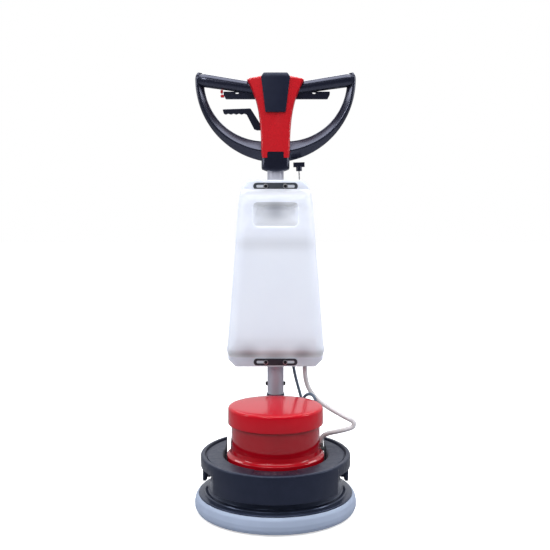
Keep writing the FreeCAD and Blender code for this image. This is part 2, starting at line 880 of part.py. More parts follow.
def make_tube():
    """The straight handle tube, with a hole for the motor's cable and two for the foot's screws."""
    wall = cut(
        rod("tube_radius", "tube_top - tube_bottom", "0", "pivot_back", "tube_bottom"),
        rod("tube_bore", "tube_top - tube_bottom + 2", "0", "pivot_back", "tube_bottom - 1"),
    )
    turn_back = FreeCAD.Rotation(Vector(0, 0, 1), 35)
    cable_hole = doc.addObject("Part::Feature", "cable_hole")
    cable_hole.Shape = Part.makeCylinder(6, 40, Vector(), Vector(1, 0, 0))
    exit_at = Vector(0, size("axis_y") + size("pivot_back"), size("cable_exit_z"))
    cable_hole.Placement = FreeCAD.Placement(exit_at, turn_back)
    screw_holes = rod("3", "80", "-40", "pivot_back", "foot_screw_z", "X")
    node(cut(wall, fuse(cable_hole, screw_holes)), "handle_tube")
    outside = size("tube_radius")
    barrel = Part.makeCylinder(6, 8, Vector(outside - 2, 0, 0), Vector(1, 0, 0))
    flange = Part.makeCylinder(9, 6, Vector(outside, 0, 0), Vector(1, 0, 0))
    bore = Part.makeCylinder(4.6, 20, Vector(outside - 6, 0, 0), Vector(1, 0, 0))
    grommet = barrel.fuse(flange).cut(bore).removeSplitter()
    solid("cable_grommet", grommet, 0, size("pivot_back"), size("cable_exit_z"), turn_back)


def tank_half(label, inset, corner, edge):
    """The tank's hollow or its outer shape: a tall box that widens downwards, with round edges."""
    body = new_body(label)
    half = [
        (f"tank_foot_half - {inset}", f"tank_bottom + {inset}"),
        (f"tank_head_half - {inset}", f"tank_shoulder - {inset}"),
    ]
    corners = half + [(f"-({x})", z) for x, z in reversed(half)]
    made = pad(body, "XZ", lambda sketch: outline(sketch, corners), f"tank_back - tank_front - 2 * {inset}")
    bind(made.Profile[0], "AttachmentOffset.Base.z", f"-(tank_back - {inset})")
    dress(body, "Fillet", lambda b, e: b.XMax - b.XMin < 1 and b.ZMax - b.ZMin < 1, corner)
    dress(body, "Fillet", lambda b, e: b.YMax - b.YMin < 1, edge)
    place(body)
    return body


def make_tank():
    """A blown tank in front of the tube: a groove behind, a filling mouth in front, two flanges."""
    outer = tank_half("tank_outer", "0", "20", "10")
    inner = tank_half("tank_inner", "tank_wall", "16", "6")
    groove = rod("tube_radius + 0.5", "800", "0", "pivot_back", "300")
    groove_wall = rod("tube_radius + 0.5 + tank_wall", "800", "0", "pivot_back", "300")
    flange_depth = "flange_back - flange_front"
    top = new_body("tank_top_flange")
    corners = [("tank_head_half - 4", "tank_shoulder - 6")]
    corners += [("100", "flange_top - 22"), ("78", "flange_top")]
    corners = corners + [(f"-({x})", z) for x, z in reversed(corners)]
    pad(top, "XZ", lambda sketch, corners=corners: outline(sketch, corners), flange_depth)
    place(top, "0", "flange_back", "0")
    low = new_body("tank_low_flange")
    corners = [("tank_foot_half - 4", "tank_bottom + 6")]
    corners += [("tank_foot_half - 4", "flange_bottom + 24"), ("122", "flange_bottom")]
    corners = corners + [(f"-({x})", z) for x, z in reversed(corners)]
    pad(low, "XZ", lambda sketch, corners=corners: outline(sketch, corners), flange_depth)
    place(low, "0", "flange_back", "0")
    shell = fuse(cut(outer, groove), top, low)
    hollow = cut(inner, groove_wall)
    mouth_high = "mouth_top - mouth_bottom"
    mouth = box("2 * mouth_half", "60", mouth_high, "-mouth_half", "tank_front - 40", "mouth_bottom")
    holes = [hollow, mouth]
    for height in ("upper_clamp_z", "lower_clamp_z"):
        for sign in SIDES.values():
            holes.append(rod("bolt_radius", "60", f"{sign} * clamp_gap / 2", "140", height, "Y"))
    top_hole = valve_part(Part.makeCylinder(3, 60, Vector(0, 0, -90)), "valve_top_hole")
    low_hole = valve_part(Part.makeCylinder(7.4, 40, Vector(0, 0, -580)), "valve_low_hole")
    node(cut(shell, fuse(*holes, top_hole, low_hole)), "tank")


def make_clamps():
    """Above and below the tank a plate in front, a saddle behind the tube and two bolts."""
    heights = {"upper": "upper_clamp_z", "lower": "lower_clamp_z"}
    saddles = []
    bolts = []
    front = "flange_front - clamp_thick"
    end = "clamp_half - clamp_height / 2"
    for name, height in heights.items():
        low = f"{height} - clamp_height / 2"
        parts = [box(f"2 * ({end})", "clamp_thick", "clamp_height", f"-({end})", front, low)]
        slots = []
        holes = []
        for sign in SIDES.values():
            bolt_x = f"{sign} * clamp_gap / 2"
            parts.append(rod("clamp_height / 2", "clamp_thick", f"{sign} * ({end})", front, height, "Y"))
            slots.append(rod("bolt_radius", "20", bolt_x, f"{front} - 5", height, "Y"))
            low_x = "clamp_gap / 2" if sign > 0 else "-clamp_gap / 2 - 18"
            slots.append(box("18", "20", "2 * bolt_radius", low_x, f"{front} - 5", f"{height} - bolt_radius"))
            holes.append(rod("bolt_radius", "44", bolt_x, "flange_back", height, "Y"))
        node(cut(fuse(*parts), fuse(*slots)), f"clamp_plate_{name}")
        block = box("78", "53", "18", "-39", "pivot_back - 20", f"{height} - 9")
        bore = rod("tube_radius", "40", "0", "pivot_back", f"{height} - 20")
        saddles.append(node(cut(block, fuse(bore, *holes)), f"clamp_saddle_{name}"))
        for side, sign in SIDES.items():
            bolt_x = f"{sign} * clamp_gap / 2"
            shank = rod("bolt_radius", "56", bolt_x, front, height, "Y")
            washer = rod("7", "1.5", bolt_x, f"{front} - 1.5", height, "Y")
            head = rod("5", "6", bolt_x, f"{front} - 7.5", height, "Y")
            bolts.append(node(fuse(shank, washer, head), f"clamp_bolt_{name}_{side}"))
    join("clamp_saddles", *saddles)
    join("clamp_bolts", *bolts)


def valve_part(shape, label):
    """A shape drawn along the valve rod, which leans outwards below."""
    made = doc.addObject("Part::Feature", f"{label}_shape")
    made.Shape = shape
    lean = FreeCAD.Rotation(Vector(0, 1, 0), -size("valve_lean"))
    at = Vector(size("valve_x"), size("axis_y") + size("valve_back"), size("valve_knob_z"))
    made.Placement = FreeCAD.Placement(at, lean)
    return made


def make_valve():
    """A knob and rod that lift a stopper off the outlet at the bottom of the tank."""
    hub = Part.makeCylinder(9, 14)
    bar = Part.makeBox(34, 12, 14, Vector(-17, -6, 12))
    node(valve_part(hub.fuse(bar).removeSplitter(), "valve_knob"), "valve_knob")
    stem = Part.makeCylinder(2, 544, Vector(0, 0, -544))
    stopper = Part.makeCone(5, 7.5, 8, Vector(0, 0, -552))
    stopper = stopper.fuse(Part.makeCylinder(7.5, 4, Vector(0, 0, -544)))
    node(valve_part(stem.fuse(stopper).removeSplitter(), "valve_rod"), "valve_rod")
    body = Part.makeCylinder(7.4, 36, Vector(0, 0, -588))
    flange = Part.makeCylinder(8.1, 2, Vector(0, 0, -554))
    barb = Part.makeCylinder(6, 12, Vector(0, 0, -600))
    bore = Part.makeCylinder(3.5, 60, Vector(0, 0, -605))
    outlet = body.fuse([flange, barb]).cut(bore)
    node(valve_part(outlet.removeSplitter(), "outlet"), "tank_outlet")


# Handle head


def head_outline(inset):
    """Half of the housing's outline: slim at the collar, with a wing at the top on each side."""
    half = [
        (f"37 - {inset}", f"cover_bottom + {inset}"),
        (f"43 - {inset}", f"cover_bottom + 24 + {inset}"),
        (f"48 - {inset}", "cover_bottom + 114"),
        (f"62 - {inset}", "cover_bottom + 184"),
        (f"86 - {inset}", "cover_top - 15"),
        (f"84 - {inset}", f"cover_top - 7 - {inset}"),
        (f"43 - {inset}", f"cover_top - {inset}"),
    ]
    return half + [(f"-({x})", z) for x, z in reversed(half)]


def head_block(label, depth, inset="0", behind=False):
    """A block with the housing's outline, in front of or behind the plane through the tube."""
    body = new_body(label)
    pad(body, "XZ", lambda sketch: outline(sketch, head_outline(inset)), depth, reverse=behind)
    place(body, "0", "pivot_back", "0")
    return body


def head_slots():
    """Slots that the collar, the triggers and the release lever pass through."""
    collar = box("48.6", "100", "24", "-24.3", "pivot_back - 50", "cover_bottom - 6")
    lever = box("50", "2 * slot_half", "66", "-70", "pivot_back - slot_half", "lever_pivot_z - 18")
    left = box("50", "2 * slot_half", "32", "-94", "pivot_back - slot_half", "trigger_pivot_z - 16")
    right = box("50", "2 * slot_half", "32", "44", "pivot_back - slot_half", "trigger_pivot_z - 16")
    tube = rod("tube_radius", "40", "0", "pivot_back", "cover_bottom - 10")
    return fuse(collar, lever, left, right, tube)


def make_head():
    """Red cover in front, black shell behind, a dark panel on the cover and the collar below."""
    for label, depth, behind in (("front_cover", "cover_front", False), ("rear_shell", "shell_back", True)):
        block = head_block(f"{label}_block", depth, "0", behind)
        hollow = head_block(f"{label}_hollow", f"{depth} - shell_wall", "shell_wall", behind)
        node(cut(block, fuse(hollow, head_slots())), label)
    panel = new_body("cover_panel")
    corners = [("29", "cover_bottom + 136"), ("43", "cover_top - 5"), ("36", "cover_top + 9")]
    corners = corners + [(f"-({x})", z) for x, z in reversed(corners)]
    pad(panel, "XZ", lambda sketch: outline(sketch, corners), "4")
    place(panel, "0", "pivot_back - cover_front", "0")
    node(panel, "cover_panel")
    block = box("2 * collar_half", "2 * collar_depth", "cover_bottom - collar_bottom", "-collar_half",
                "pivot_back - collar_depth", "collar_bottom")
    step = box("48", "2 * collar_depth - 4", "18", "-24", "pivot_back - collar_depth + 2", "cover_bottom")
    bore = rod("tube_radius", "100", "0", "pivot_back", "collar_bottom - 5")
    node(cut(fuse(block, step), bore), "collar")
    gland = rod("10", "20", "0", "pivot_back + shell_back", "cover_bottom + 50", "Y")
    gland_bore = rod("5", "30", "0", "pivot_back + shell_back - 5", "cover_bottom + 50", "Y")
    node(cut(gland, gland_bore), "mains_gland")
    blocks = [box("26", "14", "34", "-13", "pivot_back + 16", "cover_bottom + 40")]
    for low_x in ("-42", "22"):
        blocks.append(box("20", "14", "16", low_x, "pivot_back - 7", "trigger_pivot_z + 14"))
    node(fuse(*blocks), "switch_gear")


def turned_disc(name):
    """A disc on one of the arm's two circles, as deep as the arm and lying across Y."""
    centre = Vector(size(f"arm_{name}_x"), -size("arm_depth") / 2, size(f"arm_{name}_z"))
    return Part.makeCylinder(size(f"arm_{name}_radius"), size("arm_depth"), centre, Vector(0, 1, 0))


def make_grips():
    """Each side of the ring handle: a straight grip above and a curved arm that widens below."""
    tip = Vector(size("grip_tip_x"), 0, size("grip_tip_z"))
    radius = size("grip_radius")
    ring_shape = turned_disc("outer").cut(turned_disc("inner"))
    rims = [edge for edge in ring_shape.Edges if isinstance(edge.Curve, Part.Circle)]
    ring_shape = ring_shape.makeFillet(size("arm_edge"), rims)
    reach = 2 * size("arm_outer_radius")
    arm_start = size("collar_half") + 0.7
    quarter = Part.makeBox(reach, reach, reach, Vector(arm_start, -reach / 2, tip.z - reach))
    arm = ring_shape.common(quarter).fuse(Part.makeSphere(radius, tip)).removeSplitter()
    root = Vector(50, 0, size("grip_root_z") - 4)
    grip = Part.makeCylinder(radius, (tip - root).Length, root, tip - root).cut(arm)
    housing = head_solid()
    slot_half = size("slot_half")
    channel = Part.makeBox(135, 2 * slot_half, 60, Vector(48, -slot_half, size("trigger_pivot_z") - 30))
    handle = grip.cut(channel).fuse(arm).cut(housing).removeSplitter()
    for side, sign in SIDES.items():
        solid(f"handle_{side}", mirrored(handle, sign), 0, size("pivot_back"))


def mirrored(shape, sign):
    """A right-hand shape, or its mirror image for the left side."""
    return shape if sign > 0 else shape.mirror(Vector(), Vector(1, 0, 0))


def head_solid():
    """The housing's full block, which the grips end against."""
    doc.recompute()
    blocks = [doc.getObject(name).Shape for name in ("front_cover_block_body", "rear_shell_block_body")]
    joined = blocks[0].fuse(blocks[1])
    joined.translate(Vector(0, -size("axis_y") - size("pivot_back"), 0))
    return joined


# Hand controls


def lever_body(label, corners, holes=(), back="pivot_back"):
    """A flat lever with an outline in the XZ plane and round holes along Y, as x, z, radius."""
    body = new_body(label)
    pad(body, "XZ", lambda sketch: outline(sketch, corners), "lever_width", middle=True)
    for x, z, radius in holes:
        pocket(body, "XZ", lambda sketch, x=x, z=z, r=radius: ring(sketch, r, x, z), "2 * lever_width")
    place(body, "0", back, "0")
    return body


def hinge_post(x, z, label):
    """A steel post across the housing, from wall to wall."""
    length = "cover_front + shell_back - 2 * shell_wall"
    return node(rod("3", length, x, "pivot_back - cover_front + shell_wall", z, "Y"), label)


def make_triggers():
    """A switch trigger under each grip, on a post in the housing, and a red catch on the left."""
    for side, sign in SIDES.items():
        low = "trigger_pivot_z - 11"
        high = "trigger_pivot_z + 11"
        right = [("47", low), ("trigger_tip_x - 6", low), ("trigger_tip_x", high), ("47", high)]
        corners = [(f"{sign} * ({x})", z) for x, z in right]
        hole_x = f"{sign} * trigger_pivot_x"
        holes = [(hole_x, "trigger_pivot_z", "3 + run_gap")]
        holes += [(f"{sign} * 117", "trigger_pivot_z + 6", "3.5")]
        node(lever_body(f"trigger_{side}", corners, holes), f"trigger_{side}")
    catch = [("-166.5", "trigger_pivot_z - 7"), ("-159.5", "trigger_pivot_z - 7")]
    catch += [("-159.5", "trigger_pivot_z + 28"), ("-166.5", "trigger_pivot_z + 28")]
    node(lever_body("safety_catch", catch), "safety_catch")


def make_release():
    """The finger lever that lifts the lock rod: a fork round the rod, hinged on its far side."""
    px = "lever_pivot_x"
    pz = "lever_pivot_z"
    corners = [(f"{px} + 9", f"{pz} + 8"), ("-44", f"{pz} + 8"), ("-75", f"{pz} + 54")]
    corners += [("-159", f"{pz} + 52"), ("-157", f"{pz} + 38")]
    for i in range(4):
        start = -150 + 15 * i
        corners += [(f"{start}", f"{pz} + 36"), (f"{start + 7.5}", f"{pz} + 39")]
    corners += [("-88", f"{pz} + 36"), ("-64", f"{pz} - 9"), ("-56", f"{pz} - 11")]
    corners += [(f"{px} + 9", f"{pz} - 9")]
    body = lever_body("release_lever", corners, [(px, pz, "3 + run_gap")])
    doc.recompute()
    pocket(body, "XY", lambda sketch: ring(sketch, "6.6", "0", "0"), "2 * (lever_pivot_z + 14)")
    node(body, "release_lever")
    posts = [hinge_post(px, pz, "release_post")]
    for side, sign in SIDES.items():
        posts.append(hinge_post(f"{sign} * trigger_pivot_x", "trigger_pivot_z", f"trigger_post_{side}"))
    join("hinge_posts", *posts)


# Hose and cable between the handle and the base


CABLE_ROUTE = [
    (25.4, 217.8, 447), (38.5, 227, 447), (48, 231, 433), (52, 229, 412), (54, 222, 388), (58, 212, 360),
    (65, 207, 330), (73, 206, 302), (80, 205, 276), (85, 200, 254), (89, 187, 238), (91, 170, 237),
    (90, 156, 249), (89, 149, 268), (91, 141, 287), (98, 130, 301), (108, 117, 306), (117, 106, 301),
    (120.3, 100.9, 288), (120.3, 100.9, 270),
]
HOSE_ROUTE = [
    (90.35, 181.5, 376.9), (91.15, 181.5, 352), (95, 178, 330), (104, 168, 308), (120, 154, 289),
    (142, 137, 273), (166, 121, 260), (190, 106, 249), (212, 94, 239), (235, 88, 229), (233, 86, 213),
    (209, 87, 205), (186, 90, 199), (168, 93, 195), (152, 95, 190), (141, 96, 183), (136.5, 96, 173),
    (136.5, 96, 163),
]


def cord(label, route, diameter):
    """A cord's tube: straight runs with a tangent arc at each turn, as large as the runs allow."""
    points = [Vector(*point) for point in route]
    edges = []
    here = points[0]
    radii = []
    for before, corner, after in zip(points, points[1:], points[2:]):
        into = (corner - before).normalize()
        out = (after - corner).normalize()
        half_turn = into.getAngle(out) / 2
        setback = 0.45 * min((corner - before).Length, (after - corner).Length)
        radii.append(setback / math.tan(half_turn))
        start = corner - into * setback
        end = corner + out * setback
        bulge = corner + (out - into).normalize() * radii[-1] * (1 / math.cos(half_turn) - 1)
        edges.append(Part.LineSegment(here, start).toShape())
        edges.append(Part.Arc(start, bulge, end).toShape())
        here = end
    edges.append(Part.LineSegment(here, points[-1]).toShape())
    path = Part.Wire(edges)
    section = Part.Wire(Part.makeCircle(diameter / 2, points[0], points[1] - points[0]))
    tube = path.makePipeShell([section], True, True)
    expected = math.pi * (diameter / 2) ** 2 * path.Length
    turns = ", ".join(f"{radius:.0f}" for radius in radii)
    print(f"{label}: length {path.Length:.1f}, volume ratio {tube.Volume / expected:.4f}, radii {turns}")
    solid(label, tube)


def make_cords():
    """The water hose down to the deck and the motor's cable out of the tube."""
    stub = Part.makeCylinder(8, 32, Vector(125, 0, 228), Vector(1, 0, 0))
    elbow = Part.makeCylinder(8, 36, Vector(157, 0, 218))
    elbow = elbow.fuse(Part.makeCylinder(9.5, 14, Vector(157, 0, 256)))
    gland = stub.fuse(elbow).cut(Part.makeCylinder(size("motor_radius"), 400)).removeSplitter()
    solid("cable_gland", gland, rotation=FreeCAD.Rotation(Vector(0, 0, 1), 40))
    profile = [
        ("3.5", "deck_top - 12"),
        ("5.9", "deck_top - 12"),
        ("5.9", "deck_top"),
        ("9.8", "deck_top"),
        ("9.8", "deck_top + 5"),
        ("8", "deck_top + 5"),
        ("8", "151"),
        ("5.9", "151"),
        ("5.9", "163"),
        ("3.5", "163"),
    ]
    turned("hose_connector", profile, x="connector_x", back="connector_back")
    cord("power_cable", CABLE_ROUTE, 9)
    cord("solution_hose", HOSE_ROUTE, 12.5)


def check_and_write():
    """Stop on any failed object, then write each sub-part to its own file."""
    doc.recompute()
    for thing in doc.Objects:
        if "Invalid" in thing.State or "Error" in thing.State:
            raise ValueError(f"{thing.Name} ({thing.Label}) failed: {thing.State}")
    os.makedirs("parts", exist_ok=True)
    for thing in nodes:
        shape = thing.Shape
        if shape.isNull() or not shape.isValid() or not shape.Solids:
            raise ValueError(f"{thing.Label} has no valid shape")
        shape.exportStep(f"parts/{thing.Label}.step")
    print(len(nodes), "sub-parts written")


for build in (
    make_brush, make_deck, make_bumper, make_counterweight, make_gear_case, make_motor, make_cap,
    make_rotor, make_gears, make_carrier, make_yoke, make_wheels, make_foot, make_lock, make_tube,
    make_tank, make_clamps, make_valve, make_head, make_grips, make_triggers, make_release, make_cords,
):
    build()
check_and_write()
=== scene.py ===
import json
import math

import bmesh
import bpy
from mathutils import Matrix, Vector


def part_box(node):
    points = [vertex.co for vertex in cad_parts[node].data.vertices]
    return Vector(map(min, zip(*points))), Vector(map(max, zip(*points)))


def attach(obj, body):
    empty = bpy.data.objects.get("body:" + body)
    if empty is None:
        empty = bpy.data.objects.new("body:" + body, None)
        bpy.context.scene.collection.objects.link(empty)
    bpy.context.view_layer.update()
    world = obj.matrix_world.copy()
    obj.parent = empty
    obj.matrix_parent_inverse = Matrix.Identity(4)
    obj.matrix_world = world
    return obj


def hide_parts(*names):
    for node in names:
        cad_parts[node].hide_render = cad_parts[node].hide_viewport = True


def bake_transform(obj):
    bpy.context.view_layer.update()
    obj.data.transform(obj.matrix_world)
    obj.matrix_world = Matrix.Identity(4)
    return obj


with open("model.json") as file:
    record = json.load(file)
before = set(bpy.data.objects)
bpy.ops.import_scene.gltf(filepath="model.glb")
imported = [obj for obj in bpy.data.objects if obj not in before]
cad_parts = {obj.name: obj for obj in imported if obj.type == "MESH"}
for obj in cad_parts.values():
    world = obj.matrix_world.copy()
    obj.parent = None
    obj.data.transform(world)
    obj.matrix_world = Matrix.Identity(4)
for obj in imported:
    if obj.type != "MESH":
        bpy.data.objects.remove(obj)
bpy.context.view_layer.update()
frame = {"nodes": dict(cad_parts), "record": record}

MM = 0.001
AXIS_Y = (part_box("motor_body")[0].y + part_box("motor_body")[1].y) / 2
TUBE = 200
SIDES = {"left": -1, "right": 1}
FINISHES = {}


def put(name, data):
    """A new object in the scene."""
    made = bpy.data.objects.new(name, data)
    bpy.context.scene.collection.objects.link(made)
    return made


def at(x, back, z):
    """A point in metres from millimetres: x, the distance behind the motor's axis, the height."""
    return Vector((x * MM, AXIS_Y + back * MM, z * MM))


# Materials


def node(tree, kind):
    return tree.nodes.new("ShaderNode" + kind)


def link(tree, start, output, end, socket):
    tree.links.new(start.outputs[output], end.inputs[socket])


def noise(tree, vector, scale, detail=3.0, rough=0.5, stretch=None):
    """A noise texture in object space, stretched along an axis where that's asked for."""
    if stretch:
        mapping = node(tree, "Mapping")
        mapping.inputs["Scale"].default_value = stretch
        link(tree, vector, "Object", mapping, "Vector")
        source, output = mapping, "Vector"
    else:
        source, output = vector, "Object"
    texture = node(tree, "TexNoise")
    texture.inputs["Scale"].default_value = scale
    texture.inputs["Detail"].default_value = detail
    texture.inputs["Roughness"].default_value = rough
    link(tree, source, output, texture, "Vector")
    return texture


def ramp(tree, source, output, low, high, start, end):
    """Spreads a value between low and high onto the range from start to end."""
    spread = node(tree, "MapRange")
    spread.inputs["From Min"].default_value = low
    spread.inputs["From Max"].default_value = high
    spread.inputs["To Min"].default_value = start
    spread.inputs["To Max"].default_value = end
    link(tree, source, output, spread, "Value")
    return spread


def math_node(tree, operation, first, output, second=None, other=None):
    """A calculation with one or two nodes' outputs."""
    made = node(tree, "Math")
    made.operation = operation
    link(tree, first, output, made, 0)
    if second:
        link(tree, second, other, made, 1)
    return made


def material(
    name, colour, second, rough, bump, scale, grain, stretch=None, wear=None, gloss=None, shine=0.5,
    tint=(1, 1, 1, 1), **values,
):
    """A surface: two colours mottled together, a range of roughness, and a fine grain.

    bump is the grain's depth in metres, wear the colour that shows where edges are rubbed, gloss a clear
    coat's weight, roughness and refraction, and shine and tint those of the surface below it.
    The surface joins the finishes under its name."""
    made = bpy.data.materials.new(name)
    made.use_nodes = True
    tree = made.node_tree
    shader = tree.nodes["Principled BSDF"]
    place = node(tree, "TexCoord")
    mottle = noise(tree, place, scale, 4, 0.6, stretch)
    mix = node(tree, "Mix")
    mix.data_type = "RGBA"
    mix.inputs[6].default_value = (*colour, 1)
    mix.inputs[7].default_value = (*second, 1)
    link(tree, ramp(tree, mottle, "Fac", 0.35, 0.65, 0, 1), "Result", mix, 0)
    paint = mix
    if wear:
        edge = node(tree, "NewGeometry")
        rubbed = ramp(tree, edge, "Pointiness", 0.52, 0.6, 0, 1)
        patches = ramp(tree, noise(tree, place, 90, 5, 0.7), "Fac", 0.5, 0.62, 0, 0.8)
        both = math_node(tree, "MULTIPLY", rubbed, "Result", patches, "Result")
        paint = node(tree, "Mix")
        paint.data_type = "RGBA"
        link(tree, both, "Value", paint, 0)
        link(tree, mix, 2, paint, 6)
        paint.inputs[7].default_value = (*wear, 1)
    link(tree, paint, 2, shader, "Base Color")
    smudge = noise(tree, place, scale * 2.7, 5, 0.6, stretch)
    link(tree, ramp(tree, smudge, "Fac", 0.3, 0.7, *rough), "Result", shader, "Roughness")
    fine = noise(tree, place, grain, 4, 0.55, stretch)
    relief = node(tree, "Bump")
    relief.inputs["Distance"].default_value = bump
    link(tree, fine, "Fac", relief, "Height")
    link(tree, relief, "Normal", shader, "Normal")
    if gloss:
        values["Coat_Weight"], values["Coat_Roughness"], values["Coat_IOR"] = gloss
    for socket, value in {"Specular_IOR_Level": shine, "Specular_Tint": tint, **values}.items():
        shader.inputs[socket.replace("_", " ")].default_value = value
    FINISHES[name] = made
    return made


COOL = (0.56, 0.68, 1.0, 1.0)
material(
    "cap_paint", (0.485, 0.0015, 0.011), (0.46, 0.0015, 0.010), (0.35, 0.45), 2e-6, 6, 60,
    gloss=(1, 0.16, 1.33), shine=0,
)
material(
    "red_paint", (0.37, 0.002, 0.0085), (0.34, 0.0018, 0.0075), (0.35, 0.45), 2e-6, 6, 60,
    gloss=(1, 0.05, 1.42), shine=0,
)
material(
    "red_plastic", (0.45, 0.008, 0.014), (0.42, 0.007, 0.013), (0.24, 0.3), 1e-7, 8, 20,
    gloss=(0.5, 0.1, 1.5), shine=0.25,
)
material(
    "cast_grey", (0.0070, 0.0085, 0.0185), (0.0095, 0.0110, 0.0225), (0.34, 0.48), 9e-5, 25, 420,
    wear=(0.14, 0.14, 0.15), shine=0.42, tint=COOL,
)
material(
    "black_paint", (0.0190, 0.0245, 0.0450), (0.0165, 0.0210, 0.0385), (0.2, 0.25), 1e-7, 18, 20,
    shine=0.5, tint=COOL,
)
material(
    "bumper_grey", (0.365, 0.43, 0.565), (0.335, 0.395, 0.52), (0.42, 0.55), 2e-5, 9, 700,
    shine=0.4, tint=(0.75, 0.85, 1.0, 1.0),
)
material(
    "black_plastic", (0.0045, 0.0050, 0.0125), (0.0050, 0.0060, 0.0140), (0.2, 0.24), 1e-7, 30, 20,
    shine=0.8, tint=(0.72, 0.76, 1.0, 1.0),
)
material(
    "navy_plastic", (0.0055, 0.0070, 0.0180), (0.0065, 0.0080, 0.0200), (0.34, 0.42), 1e-7, 25, 40,
    shine=0.34, tint=(0.7, 0.78, 1.0, 1.0),
)
material("steel", (0.55, 0.55, 0.56), (0.46, 0.46, 0.48), (0.25, 0.4), 1e-5, 60, 800, Metallic=1.0)
material(
    "chrome_steel", (0.50, 0.505, 0.585), (0.45, 0.455, 0.53), (0.3, 0.4), 4e-6, 14, 500, (1, 1, 0.15),
    Metallic=0.15,
)
material(
    "dark_steel", (0.035, 0.035, 0.042), (0.02, 0.02, 0.025), (0.35, 0.5), 2e-5, 50, 600, Metallic=0.7
)
material("aluminium", (0.62, 0.63, 0.65), (0.52, 0.53, 0.55), (0.35, 0.5), 4e-5, 40, 600, Metallic=0.9)
material("tyre_rubber", (0.018, 0.018, 0.020), (0.028, 0.028, 0.030), (0.6, 0.8), 8e-5, 35, 500)
material("wheel_plastic", (0.28, 0.29, 0.31), (0.24, 0.25, 0.27), (0.4, 0.55), 3e-5, 30, 800)
material("beech", (0.52, 0.33, 0.17), (0.40, 0.23, 0.11), (0.45, 0.6), 8e-5, 50, 500, (0.12, 1, 1))
material("bristle", (0.045, 0.05, 0.075), (0.09, 0.10, 0.14), (0.4, 0.6), 3e-5, 300, 1500, (1, 1, 0.05))
material(
    "hose_plastic", (0.65, 0.635, 0.655), (0.60, 0.585, 0.605), (0.25, 0.35), 1e-5, 40, 400,
    Subsurface_Weight=0.3, Subsurface_Radius=(0.004, 0.004, 0.004), Subsurface_Scale=1.0,
)
material("cable_rubber", (0.10, 0.15, 0.21), (0.08, 0.12, 0.175), (0.4, 0.55), 3e-5, 60, 900)
material("fitting_grey", (0.22, 0.24, 0.25), (0.18, 0.20, 0.21), (0.35, 0.5), 3e-5, 60, 900)
material(
    "graphite_plate", (0.045, 0.052, 0.066), (0.06, 0.068, 0.084), (0.3, 0.45), 2e-5, 45, 700, Metallic=0.4
)
# Painted glow: the tank plastic is given emission, so it shines as if lit through its wall.
material(
    "tank_plastic", (0.44, 0.465, 0.53), (0.425, 0.45, 0.52), (0.34, 0.46), 3e-5, 7, 240,
    Subsurface_Weight=1.0, Subsurface_Radius=(0.025, 0.027, 0.03), Subsurface_Scale=1.0,
    Emission_Color=(0.905, 0.935, 1.0, 1.0), Emission_Strength=0.4,
)


def paint_glow_and_shade(made, strength, painted_shadows):
    """Paints a glow into the surface as emission, standing in for light through a thin wall, with painted
    shade.

    The glow is weaker at both ends and in soft painted shadows, each (half distance across, height, reach,
    what is left of the light). The base colour is painted darker on faces that turn down and on faces that
    turn up."""
    tree = made.node_tree
    place = node(tree, "TexCoord")
    split = node(tree, "SeparateXYZ")
    link(tree, place, "Object", split, "Vector")
    # Painted shade: the glow weakens towards the bottom and towards the top.
    parts = [ramp(tree, split, "Z", 0.385, 0.54, 0.72, 1), ramp(tree, split, "Z", 0.86, 0.93, 1, 0.85)]
    across = math_node(tree, "ABSOLUTE", split, "X")
    spot = node(tree, "CombineXYZ")
    link(tree, across, "Value", spot, "X")
    link(tree, split, "Z", spot, "Z")
    # Painted shadows: soft dark patches in the glow.
    for x, z, reach, rest in painted_shadows:
        apart = node(tree, "VectorMath")
        apart.operation = "DISTANCE"
        link(tree, spot, "Vector", apart, 0)
        apart.inputs[1].default_value = (x, 0, z)
        parts.append(ramp(tree, apart, "Value", 0, reach, rest, 1))
    total = node(tree, "Value")
    total.outputs[0].default_value = strength
    for part in parts:
        part.interpolation_type = "SMOOTHSTEP"
        total = math_node(tree, "MULTIPLY", part, "Result", total, "Value")
    shader = tree.nodes["Principled BSDF"]
    link(tree, total, "Value", shader, "Emission Strength")
    # Painted shade: the base colour is darker on faces that turn down and on faces that turn up.
    facing = node(tree, "SeparateXYZ")
    link(tree, node(tree, "NewGeometry"), "Normal", facing, "Vector")
    level = ramp(tree, facing, "Z", -0.7, 0, 0.35, 1)
    upward = ramp(tree, facing, "Z", 0.1, 0.9, 0, 0.5)
    painted_shading = math_node(tree, "SUBTRACT", level, "Result", upward, "Result")
    shaded_colour = node(tree, "VectorMath")
    shaded_colour.operation = "SCALE"
    tree.links.new(shader.inputs["Base Color"].links[0].from_socket, shaded_colour.inputs[0])
    link(tree, painted_shading, "Value", shaded_colour, "Scale")
    link(tree, shaded_colour, "Vector", shader, "Base Color")


# Painted shadows in the tank's glow: patches at both sides near the foot, a band above the lower plate and a
# dark patch in the filling mouth.
TANK_PAINTED_SHADOWS = ((0.08, 0.432, 0.045, 0.45), (0, 0.422, 0.05, 0.65), (0, 0.858, 0.045, 0.45))
paint_glow_and_shade(FINISHES["tank_plastic"], 0.42, TANK_PAINTED_SHADOWS)
SLOT_OF = {part["node"]: part["material_slot"] for part in frame["record"]["subparts"]}
for label, cad_node in frame["nodes"].items():
    for cad_slot in cad_node.material_slots:
        cad_slot.material = FINISHES[SLOT_OF[label]]


# Mesh tools


